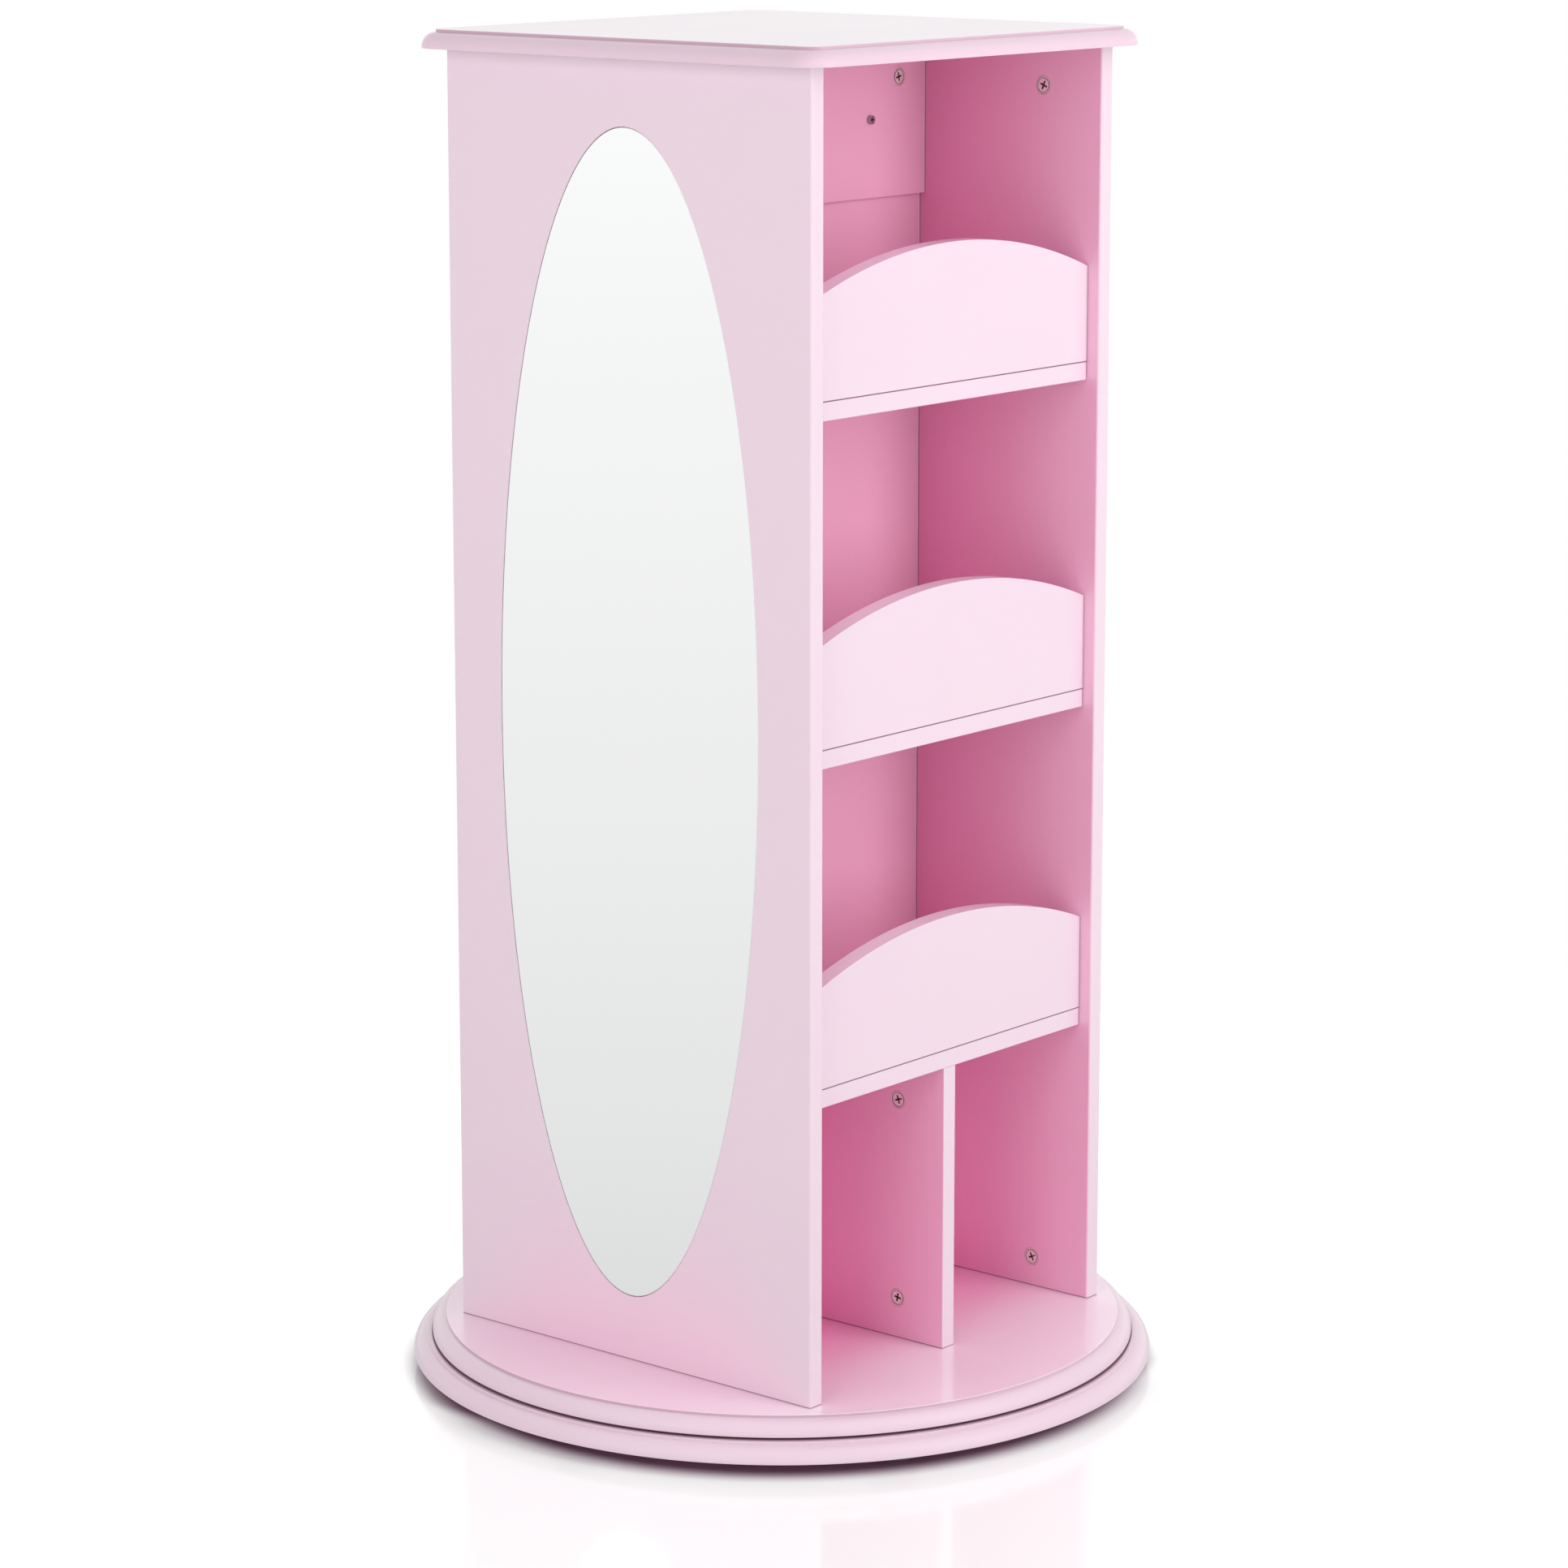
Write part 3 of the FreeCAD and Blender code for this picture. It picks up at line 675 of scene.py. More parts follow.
@dataclass(frozen=True)
class Studio:
    """Camera, white glossy floor, pale world and soft lamps.

    The floor's fades are distances from the cabinet's middle. The lift is light that only the camera sees.
    """

    camera_place: Triple = (-2.971, -2.493, 1.305)
    camera_yaw: float = 50.025
    camera_pitch: float = 10.979
    lens: float = 111.28
    image_side: float = 1932.0
    axis_row: float = 870.0
    ambient: float = 0.42
    floor_side: float = 120.0
    floor_colour: Colour = (0.80, 0.80, 0.80)
    floor_roughness: float = 0.10
    shadow_colour: Colour = (0.30, 0.16, 0.24)
    shadow_fade: tuple[float, float] = (0.290, 0.312)
    bright_azimuth: float = -40.0
    lift_fade: tuple[float, float] = (0.282, 0.302)
    lift_start: tuple[float, ...] = (0.20, 0.45, 0.018, 0.0)
    lift_level: tuple[float, ...] = (0.10, 0.50, 0.44, 0.25)
    far_fade: tuple[float, float] = (0.7, 1.3)
    horizon: tuple[float, ...] = (-0.5, 1.15, 0.72, 0.985)
    lamps: tuple[Softbox, ...] = (
        Softbox("key_softbox", 8.0, 1.15, 2.4, 1.2, 2.2, 30.4),
        Softbox("high_softbox", 5.0, 2.7, 2.0, 2.0, 1.2, 6.0),
        Softbox("high_right_softbox", 30.0, 2.3, 1.5, 1.6, 1.2, 6.0),
        Softbox("side_softbox", -100.0, 1.2, 2.6, 1.6, 2.2, 18.6),
        Softbox("side_front_softbox", -70.0, 1.2, 2.6, 1.0, 2.2, 15.0),
        Softbox("rear_softbox", 150.0, 1.1, 2.8, 1.8, 2.0, 12.0),
        Softbox("plain_side_softbox", 100.0, 1.0, 2.8, 1.6, 2.0, 12.0),
    )

    def build(self) -> None:
        """Makes the whole studio."""
        bpy.context.scene.view_settings.view_transform = "Standard"
        self.build_camera()
        self.build_world()
        self.build_floor()
        for lamp in self.lamps:
            lamp.build()

    def build_camera(self) -> None:
        """Makes the camera."""
        data = bpy.data.cameras.new("camera")
        data.sensor_width = 36.0
        data.lens = self.lens
        data.shift_y = (self.axis_row - self.image_side / 2) / self.image_side
        data.clip_end = 200.0
        camera = linked("camera", data)
        camera.location = self.camera_place
        tilt = math.radians(90.0 - self.camera_pitch)
        camera.rotation_euler = Euler((tilt, 0.0, math.radians(-self.camera_yaw)))
        bpy.context.scene.camera = camera

    def build_world(self) -> None:
        """Makes a world that lights softly and shows white to the camera and in reflections."""
        world = bpy.data.worlds.new("studio_world")
        world.use_nodes = True
        world.node_tree.nodes.clear()
        graph = Graph(world.node_tree)
        camera_ray, gloss_ray, glass_ray = graph.rays()
        strength = camera_ray.most(gloss_ray).most(glass_ray).ramp(0.0, 1.0, self.ambient, 1.0)
        sky = graph.out("Background", {"Color": WHITE, "Strength": strength})
        graph.add("OutputWorld", {"Surface": sky})
        bpy.context.scene.world = world

    def build_floor(self) -> None:
        """Makes the floor, lit and glossy near the cabinet and plain white further out."""
        mesh = bpy.data.meshes.new("floor")
        sheet = bmesh.new()
        bmesh.ops.create_grid(sheet, x_segments=8, y_segments=8, size=self.floor_side / 2)
        sheet.to_mesh(mesh)
        sheet.free()
        mesh.materials.append(self.floor_material())
        linked("floor", mesh)

    def floor_material(self) -> bpy.types.Material:
        """White gloss that keeps the cabinet's shadow, with a painted shadow under the disc's rim, and fades
        to plain white.

        Returns:
            The floor's material.
        """
        blank = Blank("floor_white_gloss")
        graph = blank.graph
        camera_ray, gloss_ray, _ = graph.rays()
        distance = graph.vector("LENGTH", blank.place, output="Value")
        # Under the lower disc's rim the floor's own colour turns dark pink: a painted shadow.
        lit = distance.ramp(*self.shadow_fade)
        graph.feed(blank.shader, {"Base Color": graph.blend(lit, self.shadow_colour, self.floor_colour),
                                  "Roughness": self.floor_roughness,
                                  "Specular IOR Level": lit.ramp(0.0, 1.0, 0.0, 0.5)})
        turn = math.radians(self.bright_azimuth)
        bright = (math.sin(turn), -math.cos(turn), 0.0)
        ahead = graph.vector("DOT_PRODUCT", graph.vector("NORMALIZE", blank.place), bright, output="Value")
        # The lift is painted light just outside the disc's rim, stronger and closer in away from the bright
        # side, and it clears the traced shadow there.
        start = distance - ahead.ramp(*self.lift_start)
        lift = camera_ray * (ahead.ramp(*self.lift_level) * start.ramp(*self.lift_fade))
        glow = graph.out("Emission", {"Color": WHITE, "Strength": lift})
        near = graph.out("AddShader", {0: blank.surface, 1: glow})
        far_share = (distance.ramp(*self.far_fade) * camera_ray).most(gloss_ray)
        # In reflections the floor darkens towards the cabinet: painted shade.
        steps = dict(enumerate((distance.math("LOGARITHM", 10.0), *self.horizon)))
        white = camera_ray.most(graph.out("MapRange", steps))
        far = graph.out("Emission", {"Color": WHITE, "Strength": white})
        graph.feed(blank.output, {"Surface": graph.out("MixShader", {0: far_share, 1: near, 2: far})})
        return blank.material


# ---- Geometry Nodes ----
@dataclass(frozen=True)
class Seat:
    """Where one copy of a piece stands, in millimetres, and which way its own Z and X axes point."""

    place: Triple
    out: Triple = (0.0, 0.0, 1.0)
    along: Triple = (1.0, 0.0, 0.0)

    def turn(self) -> Euler:
        """The turn from the piece's own axes to the cabinet's."""
        out, along = Vector(self.out), Vector(self.along)
        return Matrix((along, out.cross(along), out)).transposed().to_euler()


def around(count: int, radius: float, height: float, start: float = 0.0,
           out: Triple = (0.0, 0.0, 1.0)) -> list[Seat]:
    """Seats at equal steps on a level circle, from the start in degrees, all facing out."""
    angles = [math.radians(start + 360.0 * number / count) for number in range(count)]
    return [Seat((radius * math.cos(angle), radius * math.sin(angle), height), out) for angle in angles]


class ShapeGraph(Graph):
    """Short calls that fill a Geometry Nodes tree."""

    prefix = "GeometryNode"

    def whole(self, operation: str, first: Any, second: Any) -> Wire:
        """Whole-number arithmetic on two values or wires."""
        return self.out("FunctionNodeIntegerMath", {0: first, 1: second}, operation=operation)

    def placed(self, shape: Wire, place: Wire) -> Wire:
        """The shape with each point set to a place."""
        return self.out("SetPosition", {"Geometry": shape, "Position": place})

    def moved(self, shape: Wire, to: Wire, turn: Triple = (0.0, 0.0, 0.0)) -> Wire:
        """The shape, turned by angles in radians and then moved."""
        return self.out("Transform", {"Geometry": shape, "Translation": to, "Rotation": turn})

    def joined(self, *shapes: Wire) -> Wire:
        """All the shapes as one."""
        return self.out("JoinGeometry", {0: list(reversed(shapes))})

    def carved(self, shape: Wire, *cutters: Wire) -> Wire:
        """The shape with each cutter taken away."""
        return self.out("MeshBoolean", {0: shape, 1: list(cutters)}, operation="DIFFERENCE", solver="EXACT")

    def ring(self, radius: Any, steps: int) -> Wire:
        """A round path."""
        return self.out("CurvePrimitiveCircle", {"Resolution": steps, "Radius": radius})

    def drum(self, radius: Wire, depth: Wire, steps: int) -> Wire:
        """An upright cylinder about the middle."""
        return self.out("MeshCylinder", {"Vertices": steps, "Radius": radius, "Depth": depth})

    def rounded(self, curve: Wire, radius: Wire, steps: int) -> Wire:
        """The curve with rounded corners."""
        return self.out("FilletCurve", {"Curve": curve, "Count": steps, "Radius": radius}, mode="POLY")

    def dotted(self, count: int, place: Wire) -> Wire:
        """An open line of so many points, each set to its place."""
        sizes = {"Curve": self.out("CurvePrimitiveLine"), "Count": count}
        return self.placed(self.out("ResampleCurve", sizes, mode="COUNT"), place)

    def sampled(self, shape: Wire, value: Wire, number: Wire) -> Wire:
        """A vector value of one numbered point of a shape."""
        sizes = {"Geometry": shape, "Value": value, "Index": number}
        return self.out("SampleIndex", sizes, data_type="FLOAT_VECTOR", domain="POINT")

    def creased(self, shape: Wire, angle: float = 0.6) -> Wire:
        """Shades a shape smooth, except over its sharp edges.

        Args:
            shape: The shape.
            angle: The bend in radians over which an edge is sharp.

        Returns:
            The shaded shape.
        """
        bend = self.out("InputMeshEdgeAngle", None, "Unsigned Angle")
        sharp = self.out("FunctionNodeCompare", {0: bend, 1: angle}, operation="GREATER_THAN")
        smooth = self.out("SetShadeSmooth", {"Geometry": shape, "Shade Smooth": True}, domain="FACE")
        sizes = {"Geometry": smooth, "Shade Smooth": False, "Selection": sharp}
        return self.out("SetShadeSmooth", sizes, domain="EDGE")

    def by_index(self, values: Sequence[Any], kind: str) -> Wire:
        """Picks the value whose number is the point's own number.

        Args:
            values: Values or wires, in the order of the points.
            kind: VECTOR or FLOAT.

        Returns:
            The picked value.
        """
        node = self.add("IndexSwitch", None, data_type=kind)
        while len(node.index_switch_items) < len(values):
            node.index_switch_items.new()
        self.feed(node, dict(enumerate((self.out("InputIndex"), *values))))
        return Wire(self, node.outputs[0])

    def run(self, path: Wire, corners: Sequence[tuple[Any, ...]], steps: int, end: Any = None) -> Wire:
        """Makes the closed shell that an outline leaves when it is run along a closed path.

        Args:
            path: The closed path, counter-clockwise in plan.
            corners: From the underside outwards and up, how far each stands outside the path, its height
                and, where it is rounded, its radius.
            steps: How many segments each rounding gets.
            end: Height of the top's middle, where it isn't the last corner's.

        Returns:
            The shell.
        """
        last = corners[-1][1] if end is None else end
        places = [(corner[0], 0.0, corner[1]) for corner in corners]
        places = [(0.0, 1.0, corners[0][1]), *places, (0.0, 1.0, last)]
        radii = [0.0, *((*corner, 0.0)[2] for corner in corners), 0.0]
        line = self.dotted(len(places), self.by_index([self.point(*place) for place in places], "VECTOR"))
        outline = self.rounded(line, self.by_index(radii, "FLOAT"), steps)
        return OutlineRun().place(self, path=path, outline=outline).shell

    def cross_cutters(self, reach: Wire, width: Wire, depth: Wire, face: Wire) -> list[Wire]:
        """Makes two tapered bars that cut a driver's cross into a face.

        Args:
            reach: Length of the cross over its arms.
            width: Width of an arm at the face.
            depth: Depth of the cross, below 0 where it goes up into the face.
            face: Height of the face.

        Returns:
            The two bars.
        """
        bars = []
        for length, across in ((reach, width), (width, reach)):
            bar = self.out("MeshCube", {"Size": self.point(length, across, abs(depth) * 2.0)})
            place = self.out("InputPosition")
            widen = self.parts(place)[2] / depth * 0.28 + 1.0
            bar = self.placed(bar, self.vector("MULTIPLY", place, self.point(widen, widen, 1.0)))
            bars.append(self.moved(bar, self.point(0.0, 0.0, face)))
        return bars


class ShapeGroup(NodeGroup):
    """A node group that makes a shape."""

    kind = "GeometryNodeTree"
    writer = ShapeGraph
    output_kind = "NodeSocketGeometry"


class OutlineRun(ShapeGroup):
    """Runs an outline round a closed path, as a moulding cutter or a lathe does."""

    name = "run_outline"
    inputs = {"path": "Geometry", "outline": "Geometry"}
    outputs = ("shell",)

    def fill(self, graph: ShapeGraph) -> dict[str, Wire]:
        """Bends a grid along the path and up the outline, whose Y draws it in to the path's middle.

        Args:
            graph: The group's own tree.

        Returns:
            The shell.
        """
        turns, rows = (graph.out("AttributeDomainSize", {0: shape}, "Point Count", component="CURVE")
                       for shape in (graph.path, graph.outline))
        sheet = graph.out("MeshGrid", {"Vertices X": graph.whole("ADD", turns, 1), "Vertices Y": rows})
        index = graph.out("InputIndex")
        step = graph.whole("MODULO", graph.whole("DIVIDE", index, rows), turns)
        place = graph.out("InputPosition")
        on_path = graph.sampled(graph.path, place, step)
        ahead = graph.sampled(graph.path, graph.out("InputTangent"), step)
        row = graph.whole("MODULO", index, rows)
        out, drawn, up = graph.parts(graph.sampled(graph.outline, place, row))
        outward = graph.vector("NORMALIZE", graph.vector("CROSS_PRODUCT", ahead, (0.0, 0.0, 1.0)))
        stand_off = graph.vector("MULTIPLY", outward, graph.point(out, out, out))
        keep = 1.0 - drawn
        flat = graph.vector("MULTIPLY", graph.vector("ADD", on_path, stand_off), graph.point(keep, keep, 1.0))
        bent = graph.placed(sheet, graph.vector("ADD", flat, graph.point(0.0, 0.0, up)))
        return {"Shell": graph.out("MergeByDistance", {"Geometry": bent, "Distance": 0.000002})}


class PieceTree(ShapeGroup):
    """Makes one kind of piece from its sizes and sets it on its seats. Its fields are millimetres."""

    outputs = ("piece",)
    slot = Slot.PINK_LACQUER
    spin = 0.0
    seed = 7

    @property
    def inputs(self) -> dict[str, Any]:
        """The seats, each size, the spin and its seed, and the finish."""
        sizes = {size.name: 0.0 for size in fields(self)}
        return {"seats": "Geometry", **sizes, "spin": 0.0, "seed": "Int", "finish": "Material"}

    def shape(self, graph: ShapeGraph) -> Wire:
        """Builds one piece about its own axes.

        Args:
            graph: The tree to fill.

        Returns:
            The piece's mesh.
        """
        raise NotImplementedError

    def fill(self, graph: ShapeGraph) -> dict[str, Wire]:
        """Sets the piece on each seat, turned by chance within the spin, and gives it its finish.

        Args:
            graph: The tree to fill.

        Returns:
            The seated pieces.
        """
        turn = graph.out("InputNamedAttribute", {"Name": "turn"}, data_type="FLOAT_VECTOR")
        turn = graph.out("FunctionNodeEulerToRotation", {0: turn})
        chance = graph.out("FunctionNodeRandomValue", {2: -graph.spin, 3: graph.spin, 8: graph.seed}, 1,
                           data_type="FLOAT")
        own_spin = graph.out("FunctionNodeEulerToRotation", {0: graph.point(0.0, 0.0, chance)})
        turn = graph.out("FunctionNodeRotateRotation", {0: turn, 1: own_spin}, rotation_space="LOCAL")
        piece = graph.creased(self.shape(graph))
        seated = graph.out("InstanceOnPoints", {"Points": graph.seats, "Instance": piece, "Rotation": turn})
        real = graph.out("RealizeInstances", {"Geometry": seated})
        return {"Piece": graph.out("SetMaterial", {"Geometry": real, "Material": graph.finish})}

    def build(self, name: str, seats: Sequence[Seat], *nodes: str, body: Body = Body.CAROUSEL) -> None:
        """Grows one plain mesh with the piece on each seat, and lets it stand for its CAD nodes.

        Args:
            name: The object's name.
            seats: Where the copies stand.
            nodes: The CAD nodes that it replaces.
            body: The body that it rides on.
        """
        mesh = bpy.data.meshes.new(name)
        mesh.from_pydata([Vector(seat.place) * MM for seat in seats], [], [])
        turns = mesh.attributes.new("turn", "FLOAT_VECTOR", "POINT")
        for item, seat in zip(turns.data, seats):
            item.vector = seat.turn()
        piece = linked(name, mesh)
        grower = piece.modifiers.new("grow", "NODES")
        grower.node_group = self.tree()
        finish = finish_of(self.slot)
        values = {title(size): value * MM for size, value in vars(self).items()}
        values.update({"Spin": self.spin, "Seed": self.seed, "Finish": finish})
        for socket in grower.node_group.interface.items_tree:
            if socket.in_out == "INPUT" and socket.name in values:
                grower[socket.identifier] = values[socket.name]
        piece.modifiers.new("weigh", "WEIGHTED_NORMAL").keep_sharp = True
        graph = bpy.context.evaluated_depsgraph_get()
        grown = bpy.data.meshes.new_from_object(piece.evaluated_get(graph), preserve_all_data_layers=True,
                                                depsgraph=graph)
        piece.modifiers.clear()
        grown.materials.clear()
        grown.materials.append(finish)
        grown.polygons.foreach_set("material_index", [0] * len(grown.polygons))
        piece.data = grown
        grown.name = name
        bpy.data.meshes.remove(mesh)
        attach(piece, body.value)
        self.slot.value
        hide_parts(*nodes)
        LOG.info("built %s with %d faces for %s", name, len(grown.polygons), ", ".join(nodes))


@dataclass(frozen=True, kw_only=True)
class MouldedEdge(PieceTree):
    """The edge that the discs and the top panel share: a land, a round-over and a small step."""

    board: float = 15.0
    step: float = 2.3
    round: float = 11.5
    arris: float = 0.8
    crisp: float = 0.35

    def edge(self, graph: ShapeGraph) -> list[tuple[Any, ...]]:
        """The edge's corners, from the underside to the flat top."""
        shoulder, inset = graph.board - graph.step, -graph.round
        return [(0.0, 0.0, graph.arris), (0.0, shoulder, graph.round), (inset, shoulder),
                (inset, graph.board, graph.crisp)]


@dataclass(frozen=True, kw_only=True)
class MouldedDisc(MouldedEdge):
    """Round board with the moulded edge and a round pocket for the bearing under or over it."""

    name = "moulded_disc"
    radius: float
    pocket_radius: float = 101.0
    pocket_under: float = 0.0
    pocket_over: float = 0.0

    def shape(self, graph: ShapeGraph) -> Wire:
        """Builds the board, with its underside at height 0.

        Args:
            graph: The tree to fill.

        Returns:
            The board.
        """
        wall = graph.pocket_radius - graph.radius
        over = graph.board - graph.pocket_over
        corners = [(wall, graph.pocket_under), (wall, 0.0), *self.edge(graph), (wall, graph.board),
                   (wall, over)]
        return graph.run(graph.ring(graph.radius, 224), corners, 8)


@dataclass(frozen=True, kw_only=True)
class MouldedTop(MouldedEdge):
    """Rectangular board with rounded corners and the moulded edge."""

    name = "moulded_top"
    width: float = 420.0
    depth: float = 417.0
    corner_radius: float = 25.0

    def shape(self, graph: ShapeGraph) -> Wire:
        """The board, with its underside at height 0."""
        path = graph.out("CurvePrimitiveQuadrilateral", {"Width": graph.width, "Height": graph.depth})
        return graph.run(graph.rounded(path, graph.corner_radius, 20), self.edge(graph), 8)


@dataclass(frozen=True, kw_only=True)
class ArchedLip(PieceTree):
    """Board on edge whose top is one shallow arch. It lies flat here, with its front up."""

    name = "arched_lip"
    arch_steps = 49
    width: float = 348.0
    end_height: float = 77.0
    rise: float = 33.0
    board: float = 15.0
    arris: float = 0.8

    def shape(self, graph: ShapeGraph) -> Wire:
        """Builds the board about its own middle.

        Args:
            graph: The tree to fill.

        Returns:
            The board.
        """
        half = graph.width * 0.5
        radius = (half * half + graph.rise * graph.rise) / (graph.rise * 2.0)
        index = graph.out("InputIndex")
        angle = (1.0 - index / ((self.arch_steps - 1) / 2)) * (half / radius).math("ARCSINE")
        mid_height = graph.end_height * 0.5
        centre = mid_height + graph.rise - radius
        on_arch = graph.point(radius * angle.math("SINE"), centre + radius * angle.math("COSINE"))
        on_foot = graph.point(half * (index * 2.0 - (2.0 * self.arch_steps + 1.0)), -mid_height)
        is_foot = graph.out("FunctionNodeCompare", {2: index, 3: self.arch_steps}, data_type="INT",
                            operation="GREATER_EQUAL")
        place = graph.out("Switch", {0: is_foot, 1: on_arch, 2: on_foot}, input_type="VECTOR")
        line = graph.dotted(self.arch_steps + 2, place)
        path = graph.out("SetSplineCyclic", {"Geometry": line, "Cyclic": True})
        return graph.run(path, [(0.0, 0.0, graph.arris), (0.0, graph.board, graph.arris)], 4)


@dataclass(frozen=True, kw_only=True)
class OvalGlass(PieceTree):
    """Oval plate with ground and polished edges. It lies flat here, with its face up."""

    name = "oval_glass"
    slot = Slot.MIRROR_GLASS
    width: float = 270.0
    height: float = 935.0
    thickness: float = 3.0
    edge: float = 0.7

    def shape(self, graph: ShapeGraph) -> Wire:
        """Builds the plate about its own middle.

        Args:
            graph: The tree to fill.

        Returns:
            The plate.
        """
        place = graph.out("InputPosition")
        oval = graph.vector("MULTIPLY", place, graph.point(graph.width, graph.height, 1.0))
        soft = graph.edge * 0.35
        corners = [(0.0, 0.0, soft), (0.0, graph.thickness - graph.edge, soft),
                   (-graph.edge, graph.thickness, soft)]
        return graph.run(graph.placed(graph.ring(0.5, 256), oval), corners, 4)


@dataclass(frozen=True, kw_only=True)
class CamLock(PieceTree):
    """Cam lock: its face with a rim, a boss and a driver's cross, and the opening for its bolt."""

    name = "cam_lock"
    slot = Slot.ZINC
    spin = 0.45
    radius: float = 7.5
    depth: float = 11.95
    sink: float = 0.2
    rim: float = 0.9
    groove: float = 0.7
    boss: float = 5.2
    slot_reach: float = 7.4
    slot_width: float = 1.6
    slot_depth: float = 2.5
    socket: float = 3.6
    socket_drop: float = 7.5

    def shape(self, graph: ShapeGraph) -> Wire:
        """Builds the lock with the board's face at height 0 and its bolt along X.

        Args:
            graph: The tree to fill.

        Returns:
            The lock, with an arrow on its face.
        """
        face, rim = -graph.sink, -graph.rim
        low = face - graph.groove
        boss_top = face - graph.groove * 0.2
        boss = graph.boss - graph.radius
        small = graph.groove * 0.3
        corners = [(0.0, face - graph.depth, graph.rim), (0.0, face, small), (rim, face, small),
                   (rim, low, small), (boss, low, small), (boss, boss_top, small)]
        body = graph.run(graph.ring(graph.radius, 64), corners, 3)
        cross = graph.cross_cutters(graph.slot_reach, graph.slot_width, graph.slot_depth, boss_top)
        bore = graph.moved(graph.drum(graph.socket, graph.depth, 24),
                           graph.point(graph.radius, 0.0, -graph.socket_drop), (0.0, math.pi / 2, 0.0))
        middle = (graph.radius - graph.rim + graph.boss) * 0.5
        arrow = graph.moved(graph.drum(graph.groove, small, 3), graph.point(0.0, middle, low + small))
        return graph.joined(graph.carved(body, *cross, bore), arrow)


@dataclass(frozen=True, kw_only=True)
class Screw(PieceTree):
    """Screw with a driver's cross and a rolled thread. Its head is under height 0 and its point up."""

    name = "cross_screw"
    slot = Slot.PLATED_STEEL
    guide = 0.001
    head_radius: float
    head_height: float
    seat_depth: float = 0.0
    shank_radius: float = 1.98
    length: float
    pitch: float = 1.4

    def shape(self, graph: ShapeGraph) -> Wire:
        """Builds the screw, with its head's bearing edge at height 0.

        Args:
            graph: The tree to fill.

        Returns:
            The screw.
        """
        head_top = -graph.head_height
        core = graph.shank_radius * 0.74
        head_out, core_out, shank_out = (radius - self.guide for radius in
                                         (graph.head_radius, core, graph.shank_radius))
        tip = graph.length - graph.shank_radius * 1.4
        neck = graph.seat_depth + graph.shank_radius * 0.8
        corners = [(head_out, head_top, graph.head_height * 0.75), (head_out, 0.0, 0.0001),
                   (shank_out, graph.seat_depth), (shank_out, neck, 0.0003), (core_out, neck + 0.0004),
                   (core_out, tip, 0.0002)]
        body = graph.run(graph.ring(self.guide, 40), corners, 5, graph.length)
        cross = graph.cross_cutters(*(graph.head_radius * share for share in (1.15, 0.24, -0.42)), head_top)
        turns = (tip - neck) / graph.pitch
        helix = graph.out("CurveSpiral", {"Resolution": 16, "Rotations": turns, "Start Radius": core,
                                                      "End Radius": core, "Height": turns * graph.pitch})
        upright = graph.out("SetCurveNormal", {"Curve": helix}, mode="Z_UP")
        ridge = graph.ring(graph.shank_radius - core, 3)
        thread = graph.out("CurveToMesh", {"Curve": upright, "Profile Curve": ridge, "Fill Caps": True})
        return graph.joined(graph.carved(body, *cross), graph.moved(thread, graph.point(0.0, 0.0, neck)))


@dataclass(frozen=True, kw_only=True)
class TurnedPeg(PieceTree):
    """Turned coat peg: a foot, a waisted neck and a ball knob, bored for its screw."""

    name = "turned_peg"
    guide = 0.001
    length: float = 56.0
    foot_radius: float = 12.0
    foot_length: float = 5.0
    neck_radius: float = 6.5
    knob_radius: float = 13.0
    bore_radius: float = 2.1
    bore_depth: float = 22.1
    arris: float = 0.8

    def shape(self, graph: ShapeGraph) -> Wire:
        """Builds the peg, with its foot at height 0.

        Args:
            graph: The tree to fill.

        Returns:
            The peg.
        """
        foot_out, neck_out, knob_out, bore_out = (radius - self.guide for radius in (
            graph.foot_radius, graph.neck_radius, graph.knob_radius, graph.bore_radius))
        equator = graph.length - graph.knob_radius
        sweep = graph.neck_radius * 1.3
        corners = [(bore_out, graph.bore_depth), (bore_out, 0.0), (foot_out, 0.0, 0.0002),
                   (foot_out, graph.foot_length, graph.arris), (neck_out, graph.foot_length * 2.2, sweep),
                   (neck_out, equator - graph.knob_radius * 0.96, sweep),
                   (knob_out, equator - graph.knob_radius * 0.364, graph.knob_radius),
                   (knob_out, graph.length, graph.knob_radius)]
        return graph.run(graph.ring(self.guide, 72), corners, 12)


@dataclass(frozen=True, kw_only=True)
class GlideFoot(PieceTree):
    """Moulded glide foot, recessed underneath for its screw."""

    name = "glide_foot"
    slot = Slot.FOOT_PLASTIC
    radius: float = 20.0
    taper: float = 2.0
    height: float = 13.0
    recess_radius: float = 6.0
    recess_depth: float = 7.0
    hole_radius: float = 2.1
    round: float = 1.5

    def shape(self, graph: ShapeGraph) -> Wire:
        """Builds the foot, standing at height 0.

        Args:
            graph: The tree to fill.

        Returns:
            The foot.
        """
        recess = graph.recess_radius - graph.radius
        corners = [(recess, graph.recess_depth), (recess, 0.0, 0.0004), (-graph.taper, 0.0, graph.round),
                   (0.0, graph.height, 0.0006)]
        body = graph.run(graph.ring(graph.radius, 64), corners, 5)
        return graph.carved(body, graph.drum(graph.hole_radius, graph.height * 2.2, 24))


@dataclass(frozen=True, kw_only=True)
class BearingBall(PieceTree):
    """Bearing ball."""

    name = "bearing_ball"
    slot = Slot.BALL_STEEL
    radius: float = 2.38

    def shape(self, graph: ShapeGraph) -> Wire:
        """A round ball from a subdivided one of equal faces."""
        return graph.out("MeshIcoSphere", {"Radius": graph.radius, "Subdivisions": 4})


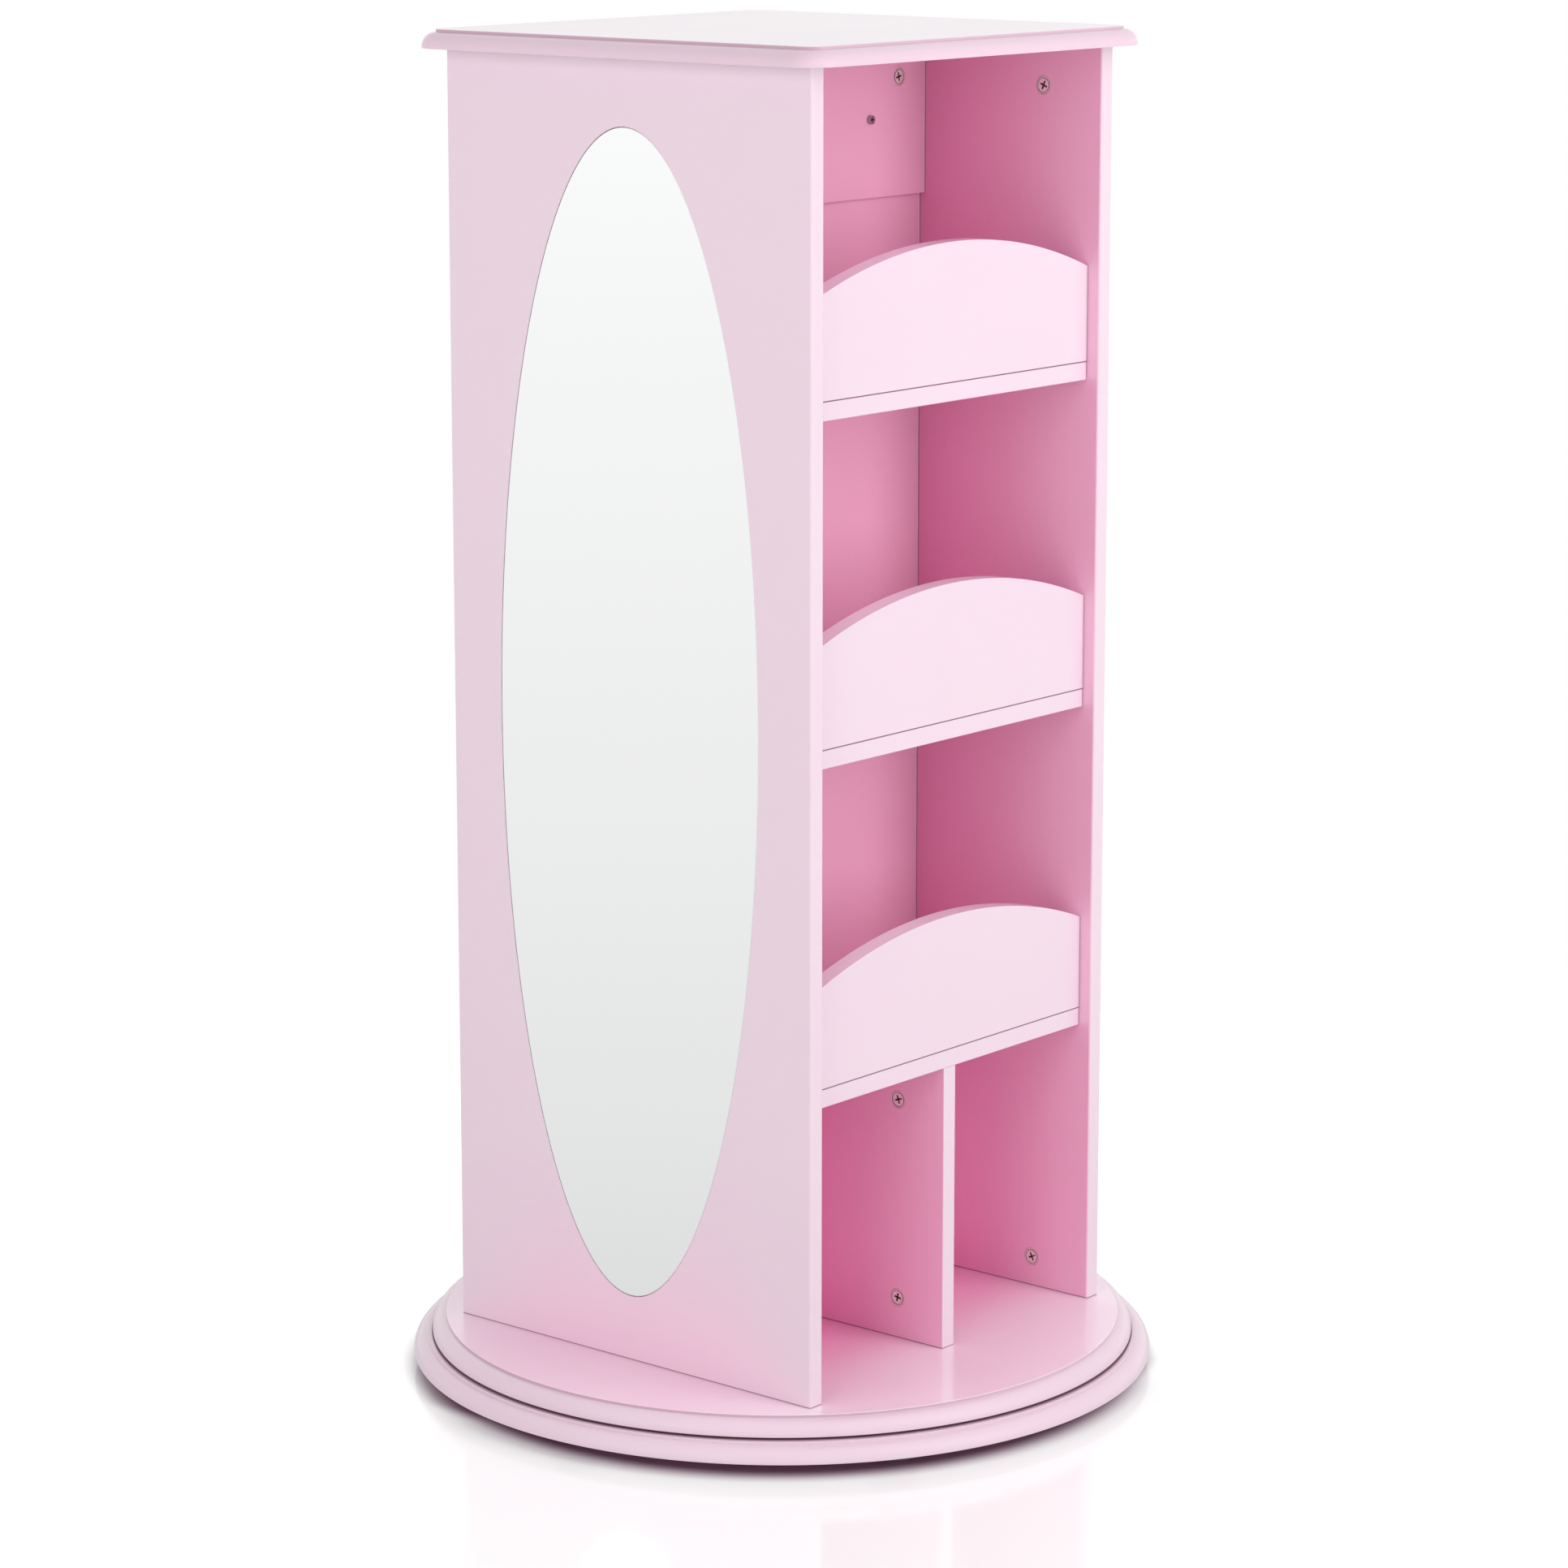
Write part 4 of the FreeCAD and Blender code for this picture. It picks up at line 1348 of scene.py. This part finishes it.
# ---- Sub-assemblies ----
@dataclass(frozen=True)
class RoundBase:
    """The two discs, the glide feet and their screws, in millimetres."""

    lower_radius: float = 306.5
    upper_radius: float = 291.0
    lower_height: float = 13.0
    upper_height: float = 29.5
    pocket_depth: float = 3.5
    foot_circle: float = 258.0
    foot_count: int = 6
    screw_height: float = 7.0

    def build(self) -> None:
        """Makes and dresses the pieces."""
        lower = MouldedDisc(radius=self.lower_radius, pocket_over=self.pocket_depth)
        seat = Seat((0.0, 0.0, self.lower_height))
        lower.build("lower_turning_disc", [seat], "lower_disc", body=Body.STAND)
        upper = MouldedDisc(radius=self.upper_radius, pocket_under=self.pocket_depth)
        upper.build("upper_turning_disc", [Seat((0.0, 0.0, self.upper_height))], "upper_disc")
        feet = around(self.foot_count, self.foot_circle, 0.0)
        GlideFoot().build("glide_feet", feet, "feet", body=Body.STAND)
        heads = around(self.foot_count, self.foot_circle, self.screw_height)
        screw = Screw(head_radius=4.0, head_height=2.5, length=16.0)
        screw.build("glide_foot_screws", heads, "foot_screws", body=Body.STAND)


@dataclass(frozen=True)
class TurntableBearing:
    """The balls and the screws of the ring bearing, in millimetres."""

    race_radius: float = 81.0
    race_height: float = 28.75
    ball_count: int = 16
    screw_count: int = 4
    screw_start: float = 45.0
    outer_screw_circle: float = 91.0
    outer_screw_top: float = 32.0
    inner_screw_circle: float = 71.0
    inner_screw_foot: float = 25.5

    def build(self) -> None:
        """Makes and dresses the pieces."""
        balls = around(self.ball_count, self.race_radius, self.race_height)
        BearingBall().build("race_balls", balls, "bearing_balls", body=Body.BALL_SET)
        screw = Screw(head_radius=3.6, head_height=0.2, seat_depth=1.6, shank_radius=2.0, length=15.8)
        outer = around(self.screw_count, self.outer_screw_circle, self.outer_screw_top - screw.head_height,
                       self.screw_start, (0.0, 0.0, -1.0))
        screw.build("outer_race_screws", outer, "outer_ring_screws", body=Body.STAND)
        inner = around(self.screw_count, self.inner_screw_circle, self.inner_screw_foot + screw.head_height,
                       self.screw_start)
        screw.build("inner_race_screws", inner, "inner_ring_screws")


@dataclass(frozen=True)
class Carcass:
    """Top panel, shelf lips and cam locks, in millimetres. Beside a cam's height is its bolt's way."""

    inner_x: float = 174.0
    half_board: float = 7.5
    top_height: float = 1086.5
    lip_front: float = -176.0
    shelf_heights: tuple[tuple[str, float], ...] = (("lower", 279.5), ("middle", 548.5), ("upper", 817.5))
    side_cams: tuple[tuple[float, float], ...] = ((1052.5, 1.0), (69.5, -1.0))
    divider_cams: tuple[tuple[float, float], ...] = ((245.5, 1.0), (78.5, -1.0))
    rail_cam_height: float = 1056.0
    cam_x: float = 140.0
    cam_y: float = 129.0

    def build(self) -> None:
        """Makes and dresses the pieces."""
        MouldedTop().build("cabinet_top", [Seat((0.0, 0.0, self.top_height))], "top_panel")
        lip = ArchedLip()
        for name, height in self.shelf_heights:
            middle = (0.0, self.lip_front + lip.board, height + lip.board + lip.end_height / 2)
            lip.build(name + "_shelf_lip", [Seat(middle, (0.0, -1.0, 0.0))], name + "_lip")
        CamLock().build("cam_locks", self.cam_seats(), "mirror_side_panel_cams", "plain_side_panel_cams",
                        "divider_cams", "rail_cams", "lower_shelf_cams", "middle_shelf_cams",
                        "upper_shelf_cams")

    def cam_seats(self) -> list[Seat]:
        """Lists the seat of every cam lock: its place, the way its face looks and the way its bolt runs.

        Returns:
            The seats.
        """
        seats = []
        for side in (-1.0, 1.0):
            for y in (-self.cam_y, self.cam_y):
                for z, up in self.side_cams:
                    seats.append(Seat((side * self.inner_x, y, z), (-side, 0.0, 0.0), (0.0, 0.0, up)))
            for _, z in self.shelf_heights:
                seats.append(Seat((side * self.cam_x, -self.cam_y, z), (0.0, 0.0, -1.0), (side, 0.0, 0.0)))
            seats.append(Seat((side * self.cam_x, -self.half_board, self.rail_cam_height), (0.0, -1.0, 0.0),
                              (side, 0.0, 0.0)))
        for z, up in self.divider_cams:
            seats.append(Seat((-self.half_board, -self.cam_y, z), (-1.0, 0.0, 0.0), (0.0, 0.0, up)))
        return seats


@dataclass(frozen=True)
class PegRow:
    """The coat pegs and their screws, in millimetres."""

    pitch: float = 102.5
    height: float = 1023.0
    rail_half: float = 7.5

    def build(self) -> None:
        """Makes and dresses the pieces."""
        back = (0.0, 1.0, 0.0)
        places = [turn * self.pitch for turn in (-1.0, 0.0, 1.0)]
        for number, x in enumerate(places, start=1):
            seat = Seat((x, self.rail_half, self.height), back)
            TurnedPeg().build("turned_peg_%d" % number, [seat], "coat_peg_%d" % number)
        screw = Screw(head_radius=3.75, head_height=2.4, length=37.0, pitch=1.5)
        seats = [Seat((x, -self.rail_half, self.height), back) for x in places]
        screw.build("coat_peg_screws", seats, "peg_screws")


@dataclass(frozen=True)
class DressingMirror:
    """The oval mirror in its recess, in millimetres."""

    panel_x: float = -189.0
    middle_height: float = 565.5

    def build(self) -> None:
        """Makes and dresses the glass."""
        glass = OvalGlass()
        middle = (self.panel_x + glass.thickness, 0.0, self.middle_height)
        seat = Seat(middle, (-1.0, 0.0, 0.0), (0.0, -1.0, 0.0))
        glass.build("mirror_glass_oval", [seat], "oval_mirror")


class FrameNodes:
    """The CAD nodes that stay in view."""

    def build(self) -> None:
        """Gives each node the finish of its slot."""
        for part in frame["record"]["subparts"]:
            for holder in frame["nodes"][part["node"]].material_slots:
                holder.material = finish_of(Slot(part["material_slot"]))
            LOG.info("dressed %s with %s", part["node"], part["material_slot"])


def main() -> None:
    """Builds the studio and the cabinet."""
    logging.basicConfig(level=logging.INFO, format="%(message)s")
    Studio().build()
    for group in (FrameNodes(), RoundBase(), TurntableBearing(), Carcass(), PegRow(), DressingMirror()):
        group.build()


if __name__ == "__main__":
    main()
